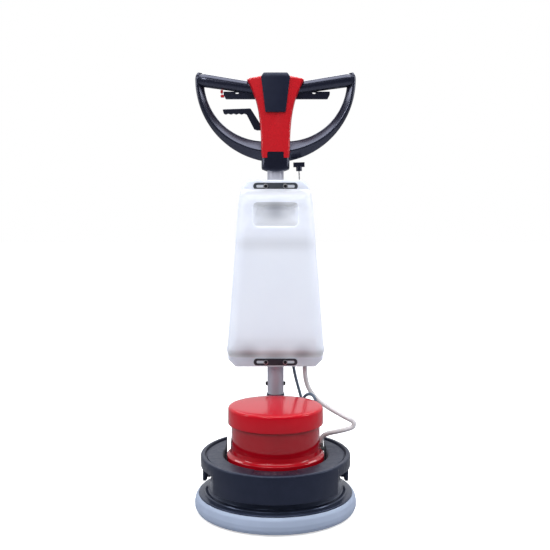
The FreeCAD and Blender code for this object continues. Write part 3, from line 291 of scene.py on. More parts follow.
def piece(name, points, faces, finish, body, stands_for=(), smooth=35):
    """A mesh object with a finish, riding on a body and standing for the CAD nodes named.

    Points that coincide are joined, and the faces turned outwards."""
    mesh = bpy.data.meshes.new(name)
    mesh.from_pydata([tuple(point) for point in points], [], faces)
    work = bmesh.new()
    work.from_mesh(mesh)
    bmesh.ops.remove_doubles(work, verts=work.verts, dist=1e-6)
    bmesh.ops.recalc_face_normals(work, faces=work.faces)
    work.to_mesh(mesh)
    work.free()
    return finished(put(name, mesh), finish, body, stands_for, smooth)


def shade(mesh, smooth=35):
    """Smooth shading, with sharp edges where the faces turn by more than an angle."""
    mesh.shade_smooth()
    mesh.set_sharp_from_angle(angle=math.radians(smooth))


def finished(made, finish, body, stands_for=(), smooth=35):
    """Gives an object its finish, its smooth shading and the body it rides on."""
    made.data.materials.clear()
    made.data.materials.append(FINISHES[finish])
    shade(made.data, smooth)
    if body:
        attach(made, body)
    if stands_for:
        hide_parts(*stands_for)
    return made


def smooth_part(value, start, end):
    """How far a value lies between two others, from 0 to 1, with soft ends."""
    part = min(max((value - start) / (end - start), 0), 1)
    return part * part * (3 - 2 * part)


def soften(points, closed=False, steps=5):
    """Rounds each corner of a flat outline that has a third value, its radius."""
    softened = []
    for i, point in enumerate(points):
        here = Vector(point[:2])
        radius = point[2] if len(point) > 2 else 0
        back_way = Vector(points[i - 1][:2]) - here
        way_on = Vector(points[(i + 1) % len(points)][:2]) - here
        if not radius or (not closed and i in (0, len(points) - 1)) or back_way.angle(way_on) > 3.1:
            softened.append(here)
            continue
        half = back_way.angle(way_on) / 2
        setback = min(radius / math.tan(half), back_way.length * 0.49, way_on.length * 0.49)
        radius = setback * math.tan(half)
        start = here + back_way.normalized() * setback
        end = here + way_on.normalized() * setback
        middle = here + (back_way.normalized() + way_on.normalized()).normalized() * radius / math.sin(half)
        turn = (start - middle).angle(end - middle)
        for step in range(steps + 1):
            part = step / steps
            spoke = (start - middle) * math.sin((1 - part) * turn)
            spoke += (end - middle) * math.sin(part * turn)
            softened.append(middle + spoke / math.sin(turn))
    return softened


def grid_faces(rows, columns, row_loop=False, column_loop=False):
    """The quads between rows of points, each row as long as the next."""
    faces = []
    for r in range(rows if row_loop else rows - 1):
        for c in range(columns if column_loop else columns - 1):
            below = r * columns
            above = (r + 1) % rows * columns
            after = (c + 1) % columns
            faces.append((below + c, below + after, above + after, above + c))
    return faces


def lathe(
    name, profile, finish, body, stands_for=(), middle=None, axis="Z", closed=False, steps=144, wave=None,
):
    """Turns a profile of (radius, distance along the axis, corner radius) about an axis.

    wave, if given, is a function of the angle and the point that returns a change of radius."""
    outline = soften(profile, closed)
    middle = middle or at(0, 0, 0)
    points = []
    for step in range(steps):
        angle = math.tau * step / steps
        for radius, along in outline:
            far = radius + (wave(angle, radius, along) if wave else 0)
            across = (far * math.cos(angle) * MM, far * math.sin(angle) * MM)
            if axis == "Z":
                offset = Vector((across[0], across[1], along * MM))
            elif axis == "X":
                offset = Vector((along * MM, across[0], across[1]))
            else:
                offset = Vector((across[0], along * MM, across[1]))
            points.append(middle + offset)
    faces = grid_faces(steps, len(outline), row_loop=True, column_loop=closed)
    return piece(name, points, faces, finish, body, stands_for)


def drill(radius, low, high, middle, axis="Z", steps=32):
    """A round bar for cutting, between two distances along an axis."""
    return lathe(
        "drill", [(0, low), (radius, low), (radius, high), (0, high)], "steel", None,
        middle=middle, axis=axis, steps=steps,
    )


def loft(name, rows, finish, body, stands_for=(), smooth=35):
    """A skin over closed rows of points, with flat ends."""
    count = len(rows[0])
    points = [point for row in rows for point in row]
    faces = grid_faces(len(rows), count, column_loop=True)
    faces.append(tuple(range(count)))
    faces.append(tuple(range(count * (len(rows) - 1), count * len(rows))))
    return piece(name, points, faces, finish, body, stands_for, smooth)


def slab(name, outline, low, high, finish, body, stands_for=(), plane="XZ", edge=1.0):
    """A plate with an outline of (u, v, corner radius), with rounded edges.

    It stands between two depths in the XZ plane, or lies between two heights in the XY plane."""
    flat = soften(outline, True)
    rows = []
    for level in (low, high):
        if plane == "XZ":
            rows.append([at(u, level, v) for u, v in flat])
        else:
            rows.append([at(u, v, level) for u, v in flat])
    made = loft(name, rows, finish, body, stands_for)
    if edge:
        bevel(made, edge)
    return made


def rectangle(half, bottom, top, corner=0.0):
    """The outline of a rectangle with rounded corners, for a slab."""
    return [(-half, bottom, corner), (half, bottom, corner), (half, top, corner), (-half, top, corner)]


def cutout(outline, low, high, plane="XZ"):
    """A sharp-edged slab for cutting."""
    return slab("cutout", outline, low, high, "steel", None, plane=plane, edge=0)


def bevel(made, width, segments=3, angle=30):
    """Rounds an object's hard edges."""
    rounding = made.modifiers.new("edges", "BEVEL")
    rounding.width = width * MM
    rounding.segments = segments
    rounding.limit_method = "ANGLE"
    rounding.angle_limit = math.radians(angle)
    rounding.harden_normals = True


def settle(made, smooth=35):
    """Applies an object's modifiers to its mesh."""
    bpy.context.view_layer.update()
    graph = bpy.context.evaluated_depsgraph_get()
    mesh = bpy.data.meshes.new_from_object(made.evaluated_get(graph))
    made.modifiers.clear()
    made.data = mesh
    shade(mesh, smooth)


def combine(made, *others, how="DIFFERENCE", smooth=35):
    """Cuts the others from an object, or joins them to it, and removes them."""
    for other in others:
        step = made.modifiers.new("cut", "BOOLEAN")
        step.operation = how
        step.solver = "EXACT"
        step.object = other
        settle(made, smooth)
        bpy.data.objects.remove(other)


def block(name, low, high):
    """A box between two corners in millimetres, for cutting."""
    corners = [(low[0], low[2]), (high[0], low[2]), (high[0], high[2]), (low[0], high[2])]
    rows = [[at(x, back, z) for x, z in corners] for back in (low[1], high[1])]
    return loft(name, rows, "steel", None)


def refined(node, finish, body, width=1.0, segments=3):
    """A CAD node's shape with rounded edges in place of its sharp ones."""
    source = bmesh.new()
    source.from_mesh(frame["nodes"][node].data)
    bmesh.ops.remove_doubles(source, verts=source.verts, dist=2e-6)
    bmesh.ops.dissolve_limit(
        source, angle_limit=math.radians(0.5), verts=source.verts, edges=source.edges
    )
    source.verts.index_update()
    points = [vertex.co.copy() for vertex in source.verts]
    faces = [tuple(vertex.index for vertex in face.verts) for face in source.faces]
    source.free()
    made = piece(f"{node}_finished", points, faces, finish, body, (node,))
    bevel(made, width, segments, 35)


def hexagon(angle, half):
    """The distance from a hexagon's middle to its edge, at an angle, from half its width."""
    turn = (angle + math.tau / 12) % (math.tau / 6) - math.tau / 12
    return half / math.cos(turn)


def joined(name, made, stands_for=()):
    """Puts several pieces of one finish and one body into one."""
    for each in made:
        settle(each)
    work = bmesh.new()
    for each in made:
        work.from_mesh(each.data)
    first = made[0]
    mesh = bpy.data.meshes.new(name)
    work.to_mesh(mesh)
    work.free()
    mesh.materials.append(first.data.materials[0])
    for each in made[1:]:
        bpy.data.objects.remove(each)
    first.data = mesh
    first.name = name
    shade(mesh)
    if stands_for:
        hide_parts(*stands_for)


def sweep(name, route, radius, finish, stands_for, sides=20):
    """A tube along points in metres, with flat ends."""
    directions = []
    for i, point in enumerate(route):
        before = route[max(i - 1, 0)]
        after = route[min(i + 1, len(route) - 1)]
        directions.append((after - before).normalized())
    across = directions[0].orthogonal().normalized()
    rows = []
    for point, direction in zip(route, directions):
        across = (across - direction * across.dot(direction)).normalized()
        other = direction.cross(across)
        row = []
        for side in range(sides):
            angle = math.tau * side / sides
            row.append(point + (across * math.cos(angle) + other * math.sin(angle)) * radius * MM)
        rows.append(row)
    return loft(name, rows, finish, None, stands_for)


# Camera, light and floor


def make_camera():
    """The photograph's viewpoint: in front, a little below the handle, looking slightly down."""
    data = bpy.data.cameras.new("camera")
    data.sensor_width = 36.0
    data.lens = 53.71
    data.clip_end = 60
    camera = put("camera", data)
    camera.location = (-0.0016, AXIS_Y - 2.3236, 0.8366)
    camera.rotation_euler = (math.radians(90) - 0.07, 0, 0)
    bpy.context.scene.camera = camera


def make_light(name, place, aim, size, power, mirrored=True):
    """A soft rectangular studio light, which glossy surfaces mirror unless told not to."""
    data = bpy.data.lights.new(name, "AREA")
    data.shape = "RECTANGLE"
    data.size = size[0]
    data.size_y = size[1]
    data.energy = power
    light = put(name, data)
    light.location = place
    light.visible_glossy = mirrored
    light.rotation_mode = "QUATERNION"
    light.rotation_quaternion = (Vector(aim) - Vector(place)).to_track_quat("-Z", "Y")
    return light


def show_camera(tree, lighting, output, seen, other, end):
    """Lights the object with one shader while the camera sees another."""
    rays = node(tree, "LightPath")
    choice = node(tree, "MixShader")
    link(tree, rays, "Is Camera Ray", choice, "Fac")
    link(tree, lighting, output, choice, 1)
    link(tree, seen, other, choice, 2)
    link(tree, choice, "Shader", tree.nodes[end], "Surface")


def make_surroundings():
    """A white studio, dimmer in front of the object than behind, seen as plain white.

    The light behind the object only shows as a reflection."""
    world = bpy.data.worlds.new("studio")
    bpy.context.scene.world = world
    world.use_nodes = True
    tree = world.node_tree
    plain = tree.nodes["Background"]
    place = node(tree, "TexCoord")
    parts = node(tree, "SeparateXYZ")
    link(tree, place, "Generated", parts, "Vector")
    front = ramp(tree, parts, "Y", -0.8, 0.5, 0.10, 0.85)
    link(tree, front, "Result", plain, "Strength")
    plain.inputs["Color"].default_value = (0.93, 0.95, 1.0, 1)
    white = node(tree, "Background")
    white.inputs["Strength"].default_value = 1.0
    white.inputs["Color"].default_value = (1, 1, 1, 1)
    show_camera(tree, plain, "Background", white, "Background", "World Output")
    make_light("ceiling", (0, -0.55, 2.9), (0, 0, 0.3), (2.6, 1.7), 64)
    make_light("left_softbox", (-2.2, -0.5, 1.7), (0, 0, 0.7), (0.5, 1.3), 16)
    make_light("right_softbox", (2.2, -0.2, 1.7), (0, 0, 0.7), (0.5, 1.3), 16)
    make_light("front_left", (-1.1, -2.7, 2.5), (0, 0, 0.5), (1.2, 0.3), 26)
    make_light("front_right", (1.0, -2.7, 2.5), (0, 0, 0.5), (0.9, 0.5), 22, mirrored=False)
    behind = make_light("behind", (0, 1.9, 2.7), (0, 0.2, 1.15), (3.0, 1.6), 60)
    behind.visible_diffuse = False


def make_floor():
    """A large pale floor."""
    half = 25
    corners = [(-half, -half, 0), (half, -half, 0), (half, half, 0), (-half, half, 0)]
    mesh = bpy.data.meshes.new("floor")
    mesh.from_pydata(corners, [], [(0, 1, 2, 3)])
    floor = put("floor", mesh)
    paint = material("floor_paint", (0.93, 0.93, 0.935), (0.91, 0.91, 0.915), (0.7, 0.8), 1e-5, 1, 60)
    tree = paint.node_tree
    shader = tree.nodes["Principled BSDF"]
    shader.inputs["Emission Color"].default_value = (1, 1, 1, 1)
    shader.inputs["Emission Strength"].default_value = 0.6
    bounce = node(tree, "BsdfDiffuse")
    bounce.inputs["Color"].default_value = (0.42, 0.43, 0.46, 1)
    show_camera(tree, bounce, "BSDF", shader, "BSDF", "Material Output")
    mesh.materials.append(paint)


make_camera()
make_surroundings()
make_floor()
bpy.context.scene.view_settings.view_transform = "Standard"


# Cords between the handle and the base

CABLE_ROUTE = [
    (0.0254, 0.2178, 0.447), (0.0385, 0.227, 0.447), (0.048, 0.231, 0.433), (0.052, 0.229, 0.412),
    (0.054, 0.222, 0.388), (0.058, 0.212, 0.36), (0.065, 0.207, 0.33), (0.073, 0.206, 0.302),
    (0.08, 0.205, 0.276), (0.085, 0.2, 0.254), (0.089, 0.187, 0.238), (0.091, 0.17, 0.237),
    (0.087, 0.157, 0.249), (0.083, 0.151, 0.268), (0.085, 0.143, 0.288), (0.093, 0.131, 0.3015),
    (0.105, 0.118, 0.3065), (0.1155, 0.107, 0.302), (0.1203, 0.1009, 0.288), (0.1203, 0.1009, 0.27),
]
HOSE_ROUTE = [
    (0.09035, 0.1815, 0.3769), (0.09115, 0.1815, 0.352), (0.095, 0.178, 0.33), (0.104, 0.168, 0.308),
    (0.12, 0.154, 0.289), (0.142, 0.137, 0.273), (0.166, 0.121, 0.26), (0.19, 0.106, 0.249),
    (0.212, 0.094, 0.239), (0.235, 0.088, 0.229), (0.233, 0.086, 0.213), (0.209, 0.087, 0.205),
    (0.186, 0.09, 0.199), (0.168, 0.093, 0.195), (0.152, 0.095, 0.19), (0.141, 0.096, 0.183),
    (0.1365, 0.096, 0.173), (0.1365, 0.096, 0.163),
]


def spline_points(name, route):
    """Points along the smooth curve whose control points are a route's."""
    curve = bpy.data.curves.new(name, "CURVE")
    curve.dimensions = "3D"
    curve.resolution_u = 12
    line = curve.splines.new("NURBS")
    line.points.add(len(route) - 1)
    for control, (x, back, z) in zip(line.points, route):
        control.co = (x, AXIS_Y + back, z, 1)
    line.order_u = 3
    line.use_endpoint_u = True
    carrier = put(name, curve)
    bpy.context.view_layer.update()
    mesh = bpy.data.meshes.new_from_object(carrier)
    found = [vertex.co.copy() for vertex in mesh.vertices]
    bpy.data.objects.remove(carrier)
    if (found[0] - Vector((route[0][0], AXIS_Y + route[0][1], route[0][2]))).length > 0.005:
        found.reverse()
    return found


def make_cord(name, node, route, diameter, finish):
    """A cord from the handle to the base, swept along a smooth curve through its route."""
    points = spline_points(f"{name}_route", route)
    made = sweep(name, points, diameter / 2, finish, (node,))
    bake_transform(made)
    return points


CABLE_LINE = make_cord(
    "motor_cable", "power_cable", CABLE_ROUTE, 9, "cable_rubber",
)
HOSE_LINE = make_cord(
    "water_hose", "solution_hose", HOSE_ROUTE, 14, "hose_plastic",
)


# Base: deck, bumper, counterweight, gear case, motor and cap


def make_deck():
    """A glossy brim with a raised inner step, the bell above it and the rubber bumper round it."""
    lathe(
        "deck_shell",
        [
            (220, 47, 1), (220, 54, 2.5), (204, 55.5, 1.5), (202, 58.5, 1.5), (192, 59.5, 4), (186.5, 90, 2),
            (184, 96, 2), (104, 96, 1), (104, 90, 1), (178, 90, 2), (180, 53, 1), (186, 47, 1),
        ],
        "black_paint", "base", ("deck",), closed=True, steps=192,
    )
    foot, top = (corner.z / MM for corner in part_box("bumper"))

    def flutes(angle, radius, along):
        return 0.5 * math.cos(angle * 180) if radius < 222 and along < foot + 2 else 0

    lathe(
        "bumper_ring",
        [
            (218.4, foot, 2), (226, foot, 4), (231.8, foot + 11, 9), (231.8, top - 24, 12),
            (228.6, top - 9, 12), (223.5, top - 2.2, 3), (220.4, top - 1.6, 0.8), (220.4, 46.6),
            (219, 46.6), (218.4, 40, 1),
        ],
        "bumper_grey", "base", ("bumper",), closed=True, steps=192, wave=flutes,
    )


def make_weight():
    """The cast horseshoe: raised border, hand holds at both sides, a recess in front."""
    steps = 240
    profile = soften(
        [
            (150, 96, 1), (158, 96, 1), (158, 144, 6), (178, 144, 6), (178, 96, 1), (192.5, 96, 1),
            (192.5, 80, 1), (213.5, 80, 2.5), (215, 163.5, 6), (202.5, 164.5, 2.5), (200.5, 156.6, 1.2),
            (197.5, 156.6, 1.2), (196.5, 159.4, 1.2), (153.5, 159.8, 3.5), (150, 156, 2),
        ],
        True, 4,
    )
    points = []
    for step in range(steps):
        angle = math.tau * step / steps
        for radius, z in profile:
            back = radius * math.sin(angle)
            rise = 5.5 * back / 200 * smooth_part(z, 120, 156)
            points.append(at(radius * math.cos(angle), back, z + rise))
    made = piece(
        "counterweight_casting", points, grid_faces(steps, len(profile), True, True),
        "cast_grey", "base", ("counterweight",),
    )
    cutters = [block("opening", (-148, 0, 60), (148, 240, 200))]
    for sign in SIDES.values():
        hold = [
            (sign * 148, -112, 5), (sign * 170, -76), (sign * 184, -30), (sign * 187, 0),
            (sign * 185, 26, 6), (sign * 237, 33), (sign * 260, 0), (sign * 240, -100), (sign * 192, -145),
        ]
        cutters.append(cutout(hold, 60, 131, "XY"))
    cutters.append(block("front_recess", (-58, -168, 153), (58, -120, 175)))
    combine(made, *cutters)
    for sign in SIDES.values():
        leg = [(sign * 204, 27), (sign * 212.8, 29), (sign * 209, 48), (sign * 200.5, 46)]
        middle = Vector((sum(x for x, y in leg) / 4, sum(y for x, y in leg) / 4))
        rows = []
        for z, inset in ((142, 0), (74, 0), (69, 0.5), (67, 2.2)):
            corners = [middle + (Vector(corner) - middle) * (1 - inset / 6) for corner in leg]
            rows.append([at(corner.x, corner.y, z) for corner in corners])
        combine(made, loft(f"leg_{sign}", rows, "cast_grey", None), how="UNION")
    bevel(made, 1.6, 3, 38)
    settle(made, 38)


def make_drive():
    """The gear case's flange, the motor body and the cap, all in glossy red paint."""
    lathe(
        "gear_case_shell",
        [
            (104, 96), (139.6, 96, 1), (139.8, 159.5, 2.4), (129.5, 163.5, 9), (127.2, 178), (122, 178),
            (24, 171), (23.5, 148), (104, 148), (104, 96),
        ],
        "red_paint", "base", ("gear_case",), steps=192,
    )
    lathe(
        "motor_shell",
        [(115, 171), (127, 171, 0.5), (126.6, 284, 1), (115, 284), (115, 171)],
        "red_paint", "base", ("motor_body",), steps=192,
    )
    cap = lathe(
        "motor_cap_shell",
        [
            (0, 300), (60, 299.9, 60), (110, 299.6), (136, 299, 8.5), (137, 250, 1.6), (134, 250, 1.2),
            (133.4, 285, 6), (127, 290), (0, 290),
        ],
        "red_plastic", "base", ("motor_cap",), steps=192,
    )
    cap.data.materials[0] = FINISHES["cap_paint"]


def make_fittings():
    """The hose connector on the deck and the cable's elbow on the motor."""
    low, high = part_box("hose_connector")
    middle = (low + high) / 2
    hose_at = Vector((middle.x, middle.y, 0))
    top = high.z / MM

    def nut(angle, radius, along):
        return hexagon(angle, 8.9) - radius if 101.2 < along < 112.8 and radius > 8 else 0

    lathe(
        "hose_elbow",
        [
            (0, 84), (5.9, 84), (5.9, 96), (9.8, 96, 0.6), (9.8, 101, 0.6), (8.9, 101.3), (8.9, 112.7),
            (7.2, 113.2, 1), (7.2, 138, 2), (8.2, 141, 1), (8.2, 150, 1), (7.4, 151.5, 0.6), (6.6, 152),
            (6.6, top - 0.5), (3.5, top - 0.5), (3.5, 100), (0, 100),
        ],
        "fitting_grey", "base", ("hose_connector",), middle=hose_at, steps=72, wave=nut,
    )
    line = HOSE_LINE[-1]
    for number, height in enumerate((154.5, 158.5)):
        lathe(
            f"hose_clamp_{number}",
            [(6.3, height - 1.3), (7.0, height - 1.3, 0.3), (7.0, height + 1.3, 0.3), (6.3, height + 1.3)],
            "steel", "base", middle=Vector((line.x, line.y, 0)), closed=True, steps=48,
        )
    refined("cable_gland", "fitting_grey", "base", 1.6)

    def knurl(angle, radius, along):
        return 0.35 * math.cos(angle * 16) if radius > 9.2 else 0

    lathe(
        "cable_gland_nut",
        [(8, 257), (9.3, 257, 0.6), (9.6, 263), (9.6, 268, 0.8), (7, 273, 2), (4.6, 273.4), (4.6, 257)],
        "fitting_grey", "base", middle=at(120.3, 100.9, 0), closed=True, steps=96, wave=knurl,
    )


def make_chassis():
    """The yoke, its bolts, the pivot and the wheels."""
    refined("yoke", "black_paint", "base", 1.5)

    def bolt_head(angle, radius, along):
        return hexagon(angle, 6.9) - radius if 105.4 < along < 110.2 and radius > 6.4 else 0

    bolts = []
    for side, sign in SIDES.items():
        bolts.append(
            lathe(
                f"yoke_bolt_head_{side}",
                [
                    (0, 84), (4, 84), (4, 104), (9.5, 104), (9.5, 105.3, 0.3), (6.9, 105.5), (6.9, 110.1),
                    (6, 110.8), (0, 110.8),
                ],
                "steel", "base", middle=at(sign * 60, 162, 0), steps=72, wave=bolt_head,
            )
        )
    joined("yoke_bolt_set", bolts, ("yoke_bolts",))
    refined("pivot_pin_and_drum", "steel", "base", 0.8)
    refined("wheel_axle", "steel", "base", 0.8)
    refined("axle_sleeves", "black_plastic", "base", 0.8)

    def tread(angle, radius, along):
        return -1.6 if radius > 63.2 and math.cos(angle * 36 + abs(along) * 0.25) > 0.72 else 0

    for side in SIDES:
        low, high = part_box(f"tyre_{side}")
        hub = (low + high) / 2
        half = (high.x - low.x) / 2 / MM
        lathe(
            f"tyre_tread_{side}",
            [
                (48, -half + 0.5), (50, -half + 0.5, 1), (58, -half + 0.2, 4), (64, -half + 4, 3),
                (65, -9, 1), (65, -2.6, 0.6), (62.6, -1.8, 0.4), (62.6, 1.8, 0.4), (65, 2.6, 0.6), (65, 9, 1),
                (64, half - 4, 3), (58, half - 0.2, 4), (50, half - 0.5, 1), (48, half - 0.5),
            ],
            "tyre_rubber", f"wheel_{side}", (f"tyre_{side}",), middle=hub, axis="X", closed=True, steps=288,
            wave=tread,
        )
        rim = lathe(
            f"wheel_disc_{side}",
            [
                (10.3, -half, 0.5), (16, -half, 1.5), (19, -8, 3), (39, -6, 3), (42, -half + 1, 1),
                (48, -half + 0.5, 1), (48, half - 0.5, 1), (42, half - 1, 1), (39, 6, 3), (19, 8, 3),
                (16, half, 1.5), (10.3, half, 0.5),
            ],
            "wheel_plastic", f"wheel_{side}", (), middle=hub, axis="X", closed=True, steps=144,
        )
        holes = []
        for number in range(5):
            angle = math.tau * number / 5
            place = hub + Vector((0, 29.5 * MM * math.cos(angle), 29.5 * MM * math.sin(angle)))
            holes.append(drill(6.8, -30, 30, place, "X", 40))
        combine(rim, *holes)
        bevel(rim, 1.0, 2, 40)
        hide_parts(f"wheel_rim_{side}")


def make_brush():
    """Wooden block, drive plate and rings of bristle tufts."""
    refined("brush_block", "beech", "brush_carrier", 2.0)
    refined("drive_plate", "steel", "brush_carrier", 1.0)
    points = []
    faces = []
    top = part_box("brush_bristles")[1].z / MM
    sides = 7
    edge = 199.6
    ring = 84.0
    row = 0
    while ring < 198:
        count = round(math.tau * ring / 11.5)
        for number in range(count):
            angle = math.tau * (number + 0.5 * (row % 2)) / count
            lean = 1 + 0.012 * math.sin(number * 2.4 + row)
            start = len(points)
            spread = min(5.4, edge - ring)
            levels = ((top + 3, 3.0, 1), (top - 4, 3.4, 1), (6, 4.9, lean), (0, spread, lean))
            for z, size, out in levels:
                for side in range(sides):
                    turn = math.tau * side / sides + number
                    far = min(ring * out, edge - size)
                    points.append(
                        at(
                            far * math.cos(angle) + size * math.cos(turn),
                            far * math.sin(angle) + size * math.sin(turn),
                            z + (0.9 * math.sin(turn * 3 + number) if z == 6 else 0),
                        )
                    )
            tuft = grid_faces(len(levels), sides, column_loop=True)
            faces += [tuple(start + corner for corner in face) for face in tuft]
            faces.append(tuple(start + 3 * sides + side for side in range(sides)))
        ring += 11.2
        row += 1
    piece("bristle_tufts", points, faces, "bristle", "brush_carrier", ("brush_bristles",), 60)


make_deck()
make_weight()
make_drive()
make_fittings()
make_chassis()
make_brush()


# Tank, clamps and tube


def tank_row(z, half, front):
    """A closed row of points round the tank at one height: a rounded rectangle, crowned in front."""
    corner, back = 30, 195.5
    outline = soften(
        [(-half, front, corner), (half, front, corner), (half, back, 12), (-half, back, 12)], True, 8
    )
    row = []
    for x, y in outline:
        crown = 5 * (1 - (x / half) ** 2) if y < front + corner * 0.3 else 0
        row.append(at(x, y - crown, z))
    return row


def tank_sections(low, high, half_foot, half_head):
    """Heights with the half width and the front's place at each."""
    sections = []
    count = 44
    for i in range(count + 1):
        z = low + (high - low) * i / count
        part = (z - low) / (high - low)
        half = half_foot + (half_head - half_foot) * part
        front = 78 + 8 * part - 6 * smooth_part(z, 738, 782) + 5 * smooth_part(z, 800, 850)
        front += 10 * (1 - smooth_part(z, low, low + 36))
        sections.append((z, half, front))
    return sections


def make_tank():
    """The blown tank: rounded skin, a bulge at the shoulder, the filling mouth and two flanges."""
    foot, head = 414, 922
    sections = tank_sections(foot, head, 146.5, 107)
    foot_round, head_round, round_depth, narrowing = 40, 36, 66, 9
    low_end, high_end = [], []
    steps = 9
    for step in range(steps):
        angle = math.pi / 2 * step / steps
        drop, inward = 1 - math.cos(angle), 1 - math.sin(angle)
        low_end.append((
            foot + foot_round * drop, 146 - narrowing * inward, sections[3][2] + round_depth * inward,
        ))
        high_end.append((
            head - head_round * drop, 108 - narrowing * inward, sections[-2][2] + round_depth * inward,
        ))
    straight = [each for each in sections if foot + foot_round + 1 < each[0] < head - head_round - 1]
    rows = [tank_row(*section) for section in low_end + straight + high_end[::-1]]
    outer = loft("tank_shell", rows, "tank_plastic", None, smooth=60)
    for vertex in outer.data.vertices:
        x, back, z = vertex.co.x / MM, (vertex.co.y - AXIS_Y) / MM, vertex.co.z / MM
        if back < 150:
            for sign in SIDES.values():
                near = ((x - sign * 92) / 26) ** 2 + ((z - 452) / 17) ** 2
                vertex.co.y += 7 * math.exp(-near) * MM
    groove = drill(25.5, 300, 1000, at(0, TUBE, 0), steps=72)
    rows = []
    for depth, half, bottom, top, corner in (
        (20, 74, 805, 888, 16), (84, 66, 812, 881, 14), (97, 55, 820, 876, 14), (108, 38, 830, 872, 14),
    ):
        row = []
        for x, z in soften(rectangle(half, bottom, top, corner), True):
            slope = 16 * smooth_part(z, 832, 872) if depth > 90 else 0
            row.append(at(x, depth + slope, z))
        rows.append(row)
    funnel = loft("funnel", rows, "steel", None)
    combine(outer, groove, funnel, smooth=45)
    bevel(outer, 7.5, 6, 38)
    settle(outer, 45)
    finished(outer, "tank_plastic", "handle", ("tank",), 45)
    top = [(-105, 905), (105, 905), (102, 928, 14), (84, 950, 14), (-84, 950, 14), (-102, 928, 14)]
    low = [(-145, 440), (145, 440), (145, 404, 12), (122, 381, 9), (-122, 381, 9), (-145, 404, 12)]
    for label, outline, plate in (("top", top, "upper"), ("low", low, "lower")):
        made = slab(f"tank_flange_{label}", outline, 161, 174, "tank_plastic", "handle", edge=3.5)
        made.modifiers["edges"].segments = 4
        plate_low, plate_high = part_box(f"clamp_plate_{plate}")
        middle = (plate_low.z + plate_high.z) / 2 / MM
        for sign in (-1, 1):
            combine(made, drill(4, 140, 190, at(sign * 29.5, 0, middle), "Y"))


def make_clamps():
    """Graphite plates with long slots, socket bolts with washers, and the saddles behind."""

    def socket(angle, radius, along):
        return hexagon(angle, 2.4) - radius if 0 < radius < 3 else 0

    bolts = []
    for name in ("upper", "lower"):
        low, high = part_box(f"clamp_plate_{name}")
        half = (high.x - low.x) / 2 / MM
        radius = (high.z - low.z) / 2 / MM
        middle = (low.z + high.z) / 2 / MM
        front = (low.y - AXIS_Y) / MM
        back = (high.y - AXIS_Y) / MM
        outline = rectangle(half, middle - radius, middle + radius, radius)
        plate = slab(f"clamp_plate_{name}_pressed", outline, front, back, "graphite_plate", None, edge=0)
        for sign in (-1, 1):
            inner, outer = sorted((sign * 25.5, sign * 58))
            slot = [
                (inner, middle - 4.2, 4.2), (outer, middle - 4.2, 4.2),
                (outer, middle + 4.2, 4.2), (inner, middle + 4.2, 4.2),
            ]
            combine(plate, cutout(slot, front - 5, back + 5))
        bevel(plate, 0.9, 3, 35)
        finished(plate, "graphite_plate", "handle", (f"clamp_plate_{name}",))
        for side, sign in SIDES.items():
            place = at(sign * 29.5, 0, middle)
            lathe(
                f"washer_{name}_{side}",
                [(4, front - 1.5), (7.3, front - 1.5, 0.4), (7.3, front, 0.2), (4, front)],
                "steel", "handle", middle=place, axis="Y", closed=True, steps=48,
            )

            bolts.append(
                lathe(
                    f"socket_bolt_{name}_{side}",
                    [
                        (0, front - 4), (2.4, front - 4), (2.4, front - 7.4), (4.6, front - 7.5, 0.7),
                        (5, front - 1.5), (4, front - 1.5), (4, 199), (0, 199),
                    ],
                    "dark_steel", "handle", middle=place, axis="Y", steps=48, wave=socket,
                )
            )
    joined("clamp_bolt_set", bolts, ("clamp_bolts",))
    refined("clamp_saddles", "graphite_plate", "handle", 2.0)
    refined("tube_foot", "black_paint", "handle", 1.6)
    refined("tank_outlet", "fitting_grey", "handle", 0.8)
    refined("cable_grommet", "tyre_rubber", "handle", 1.0)
    screws = []
    for side, sign in SIDES.items():
        screws.append(
            lathe(
                f"foot_screw_{side}",
                [
                    (0, sign * 27.5), (2.6, sign * 27.5), (2.6, sign * 31), (5.8, sign * 31, 1.6),
                    (6.5, sign * 25), (0, sign * 25),
                ],
                "dark_steel", "handle", middle=at(0, TUBE, 322), axis="X", steps=40,
            )
        )
    joined("foot_screw_set", screws, ("foot_screws",))


def make_valve():
    """The T knob, with rounded bar and ribbed hub, at the top of the leaning valve rod."""
    refined("valve_knob", "black_plastic", "water_valve", 2.4, segments=4)
    refined("valve_rod", "steel", "water_valve", 0.5)


# Handle head


HEAD_SIDE = [
    (1016, 40.5), (1028, 42.5), (1046, 43.5), (1072, 44.2), (1100, 45.6), (1130, 48.3), (1160, 52.8),
    (1190, 60), (1212, 68.5), (1232, 77), (1246, 83.5), (1254, 86), (1258, 85), (1261, 82),
]


def head_half(z):
    """The housing's half width at a height."""
    for (low, first), (high, second) in zip(HEAD_SIDE, HEAD_SIDE[1:]):
        if z <= high:
            return first + (second - first) * (z - low) / (high - low)
    return HEAD_SIDE[-1][1]


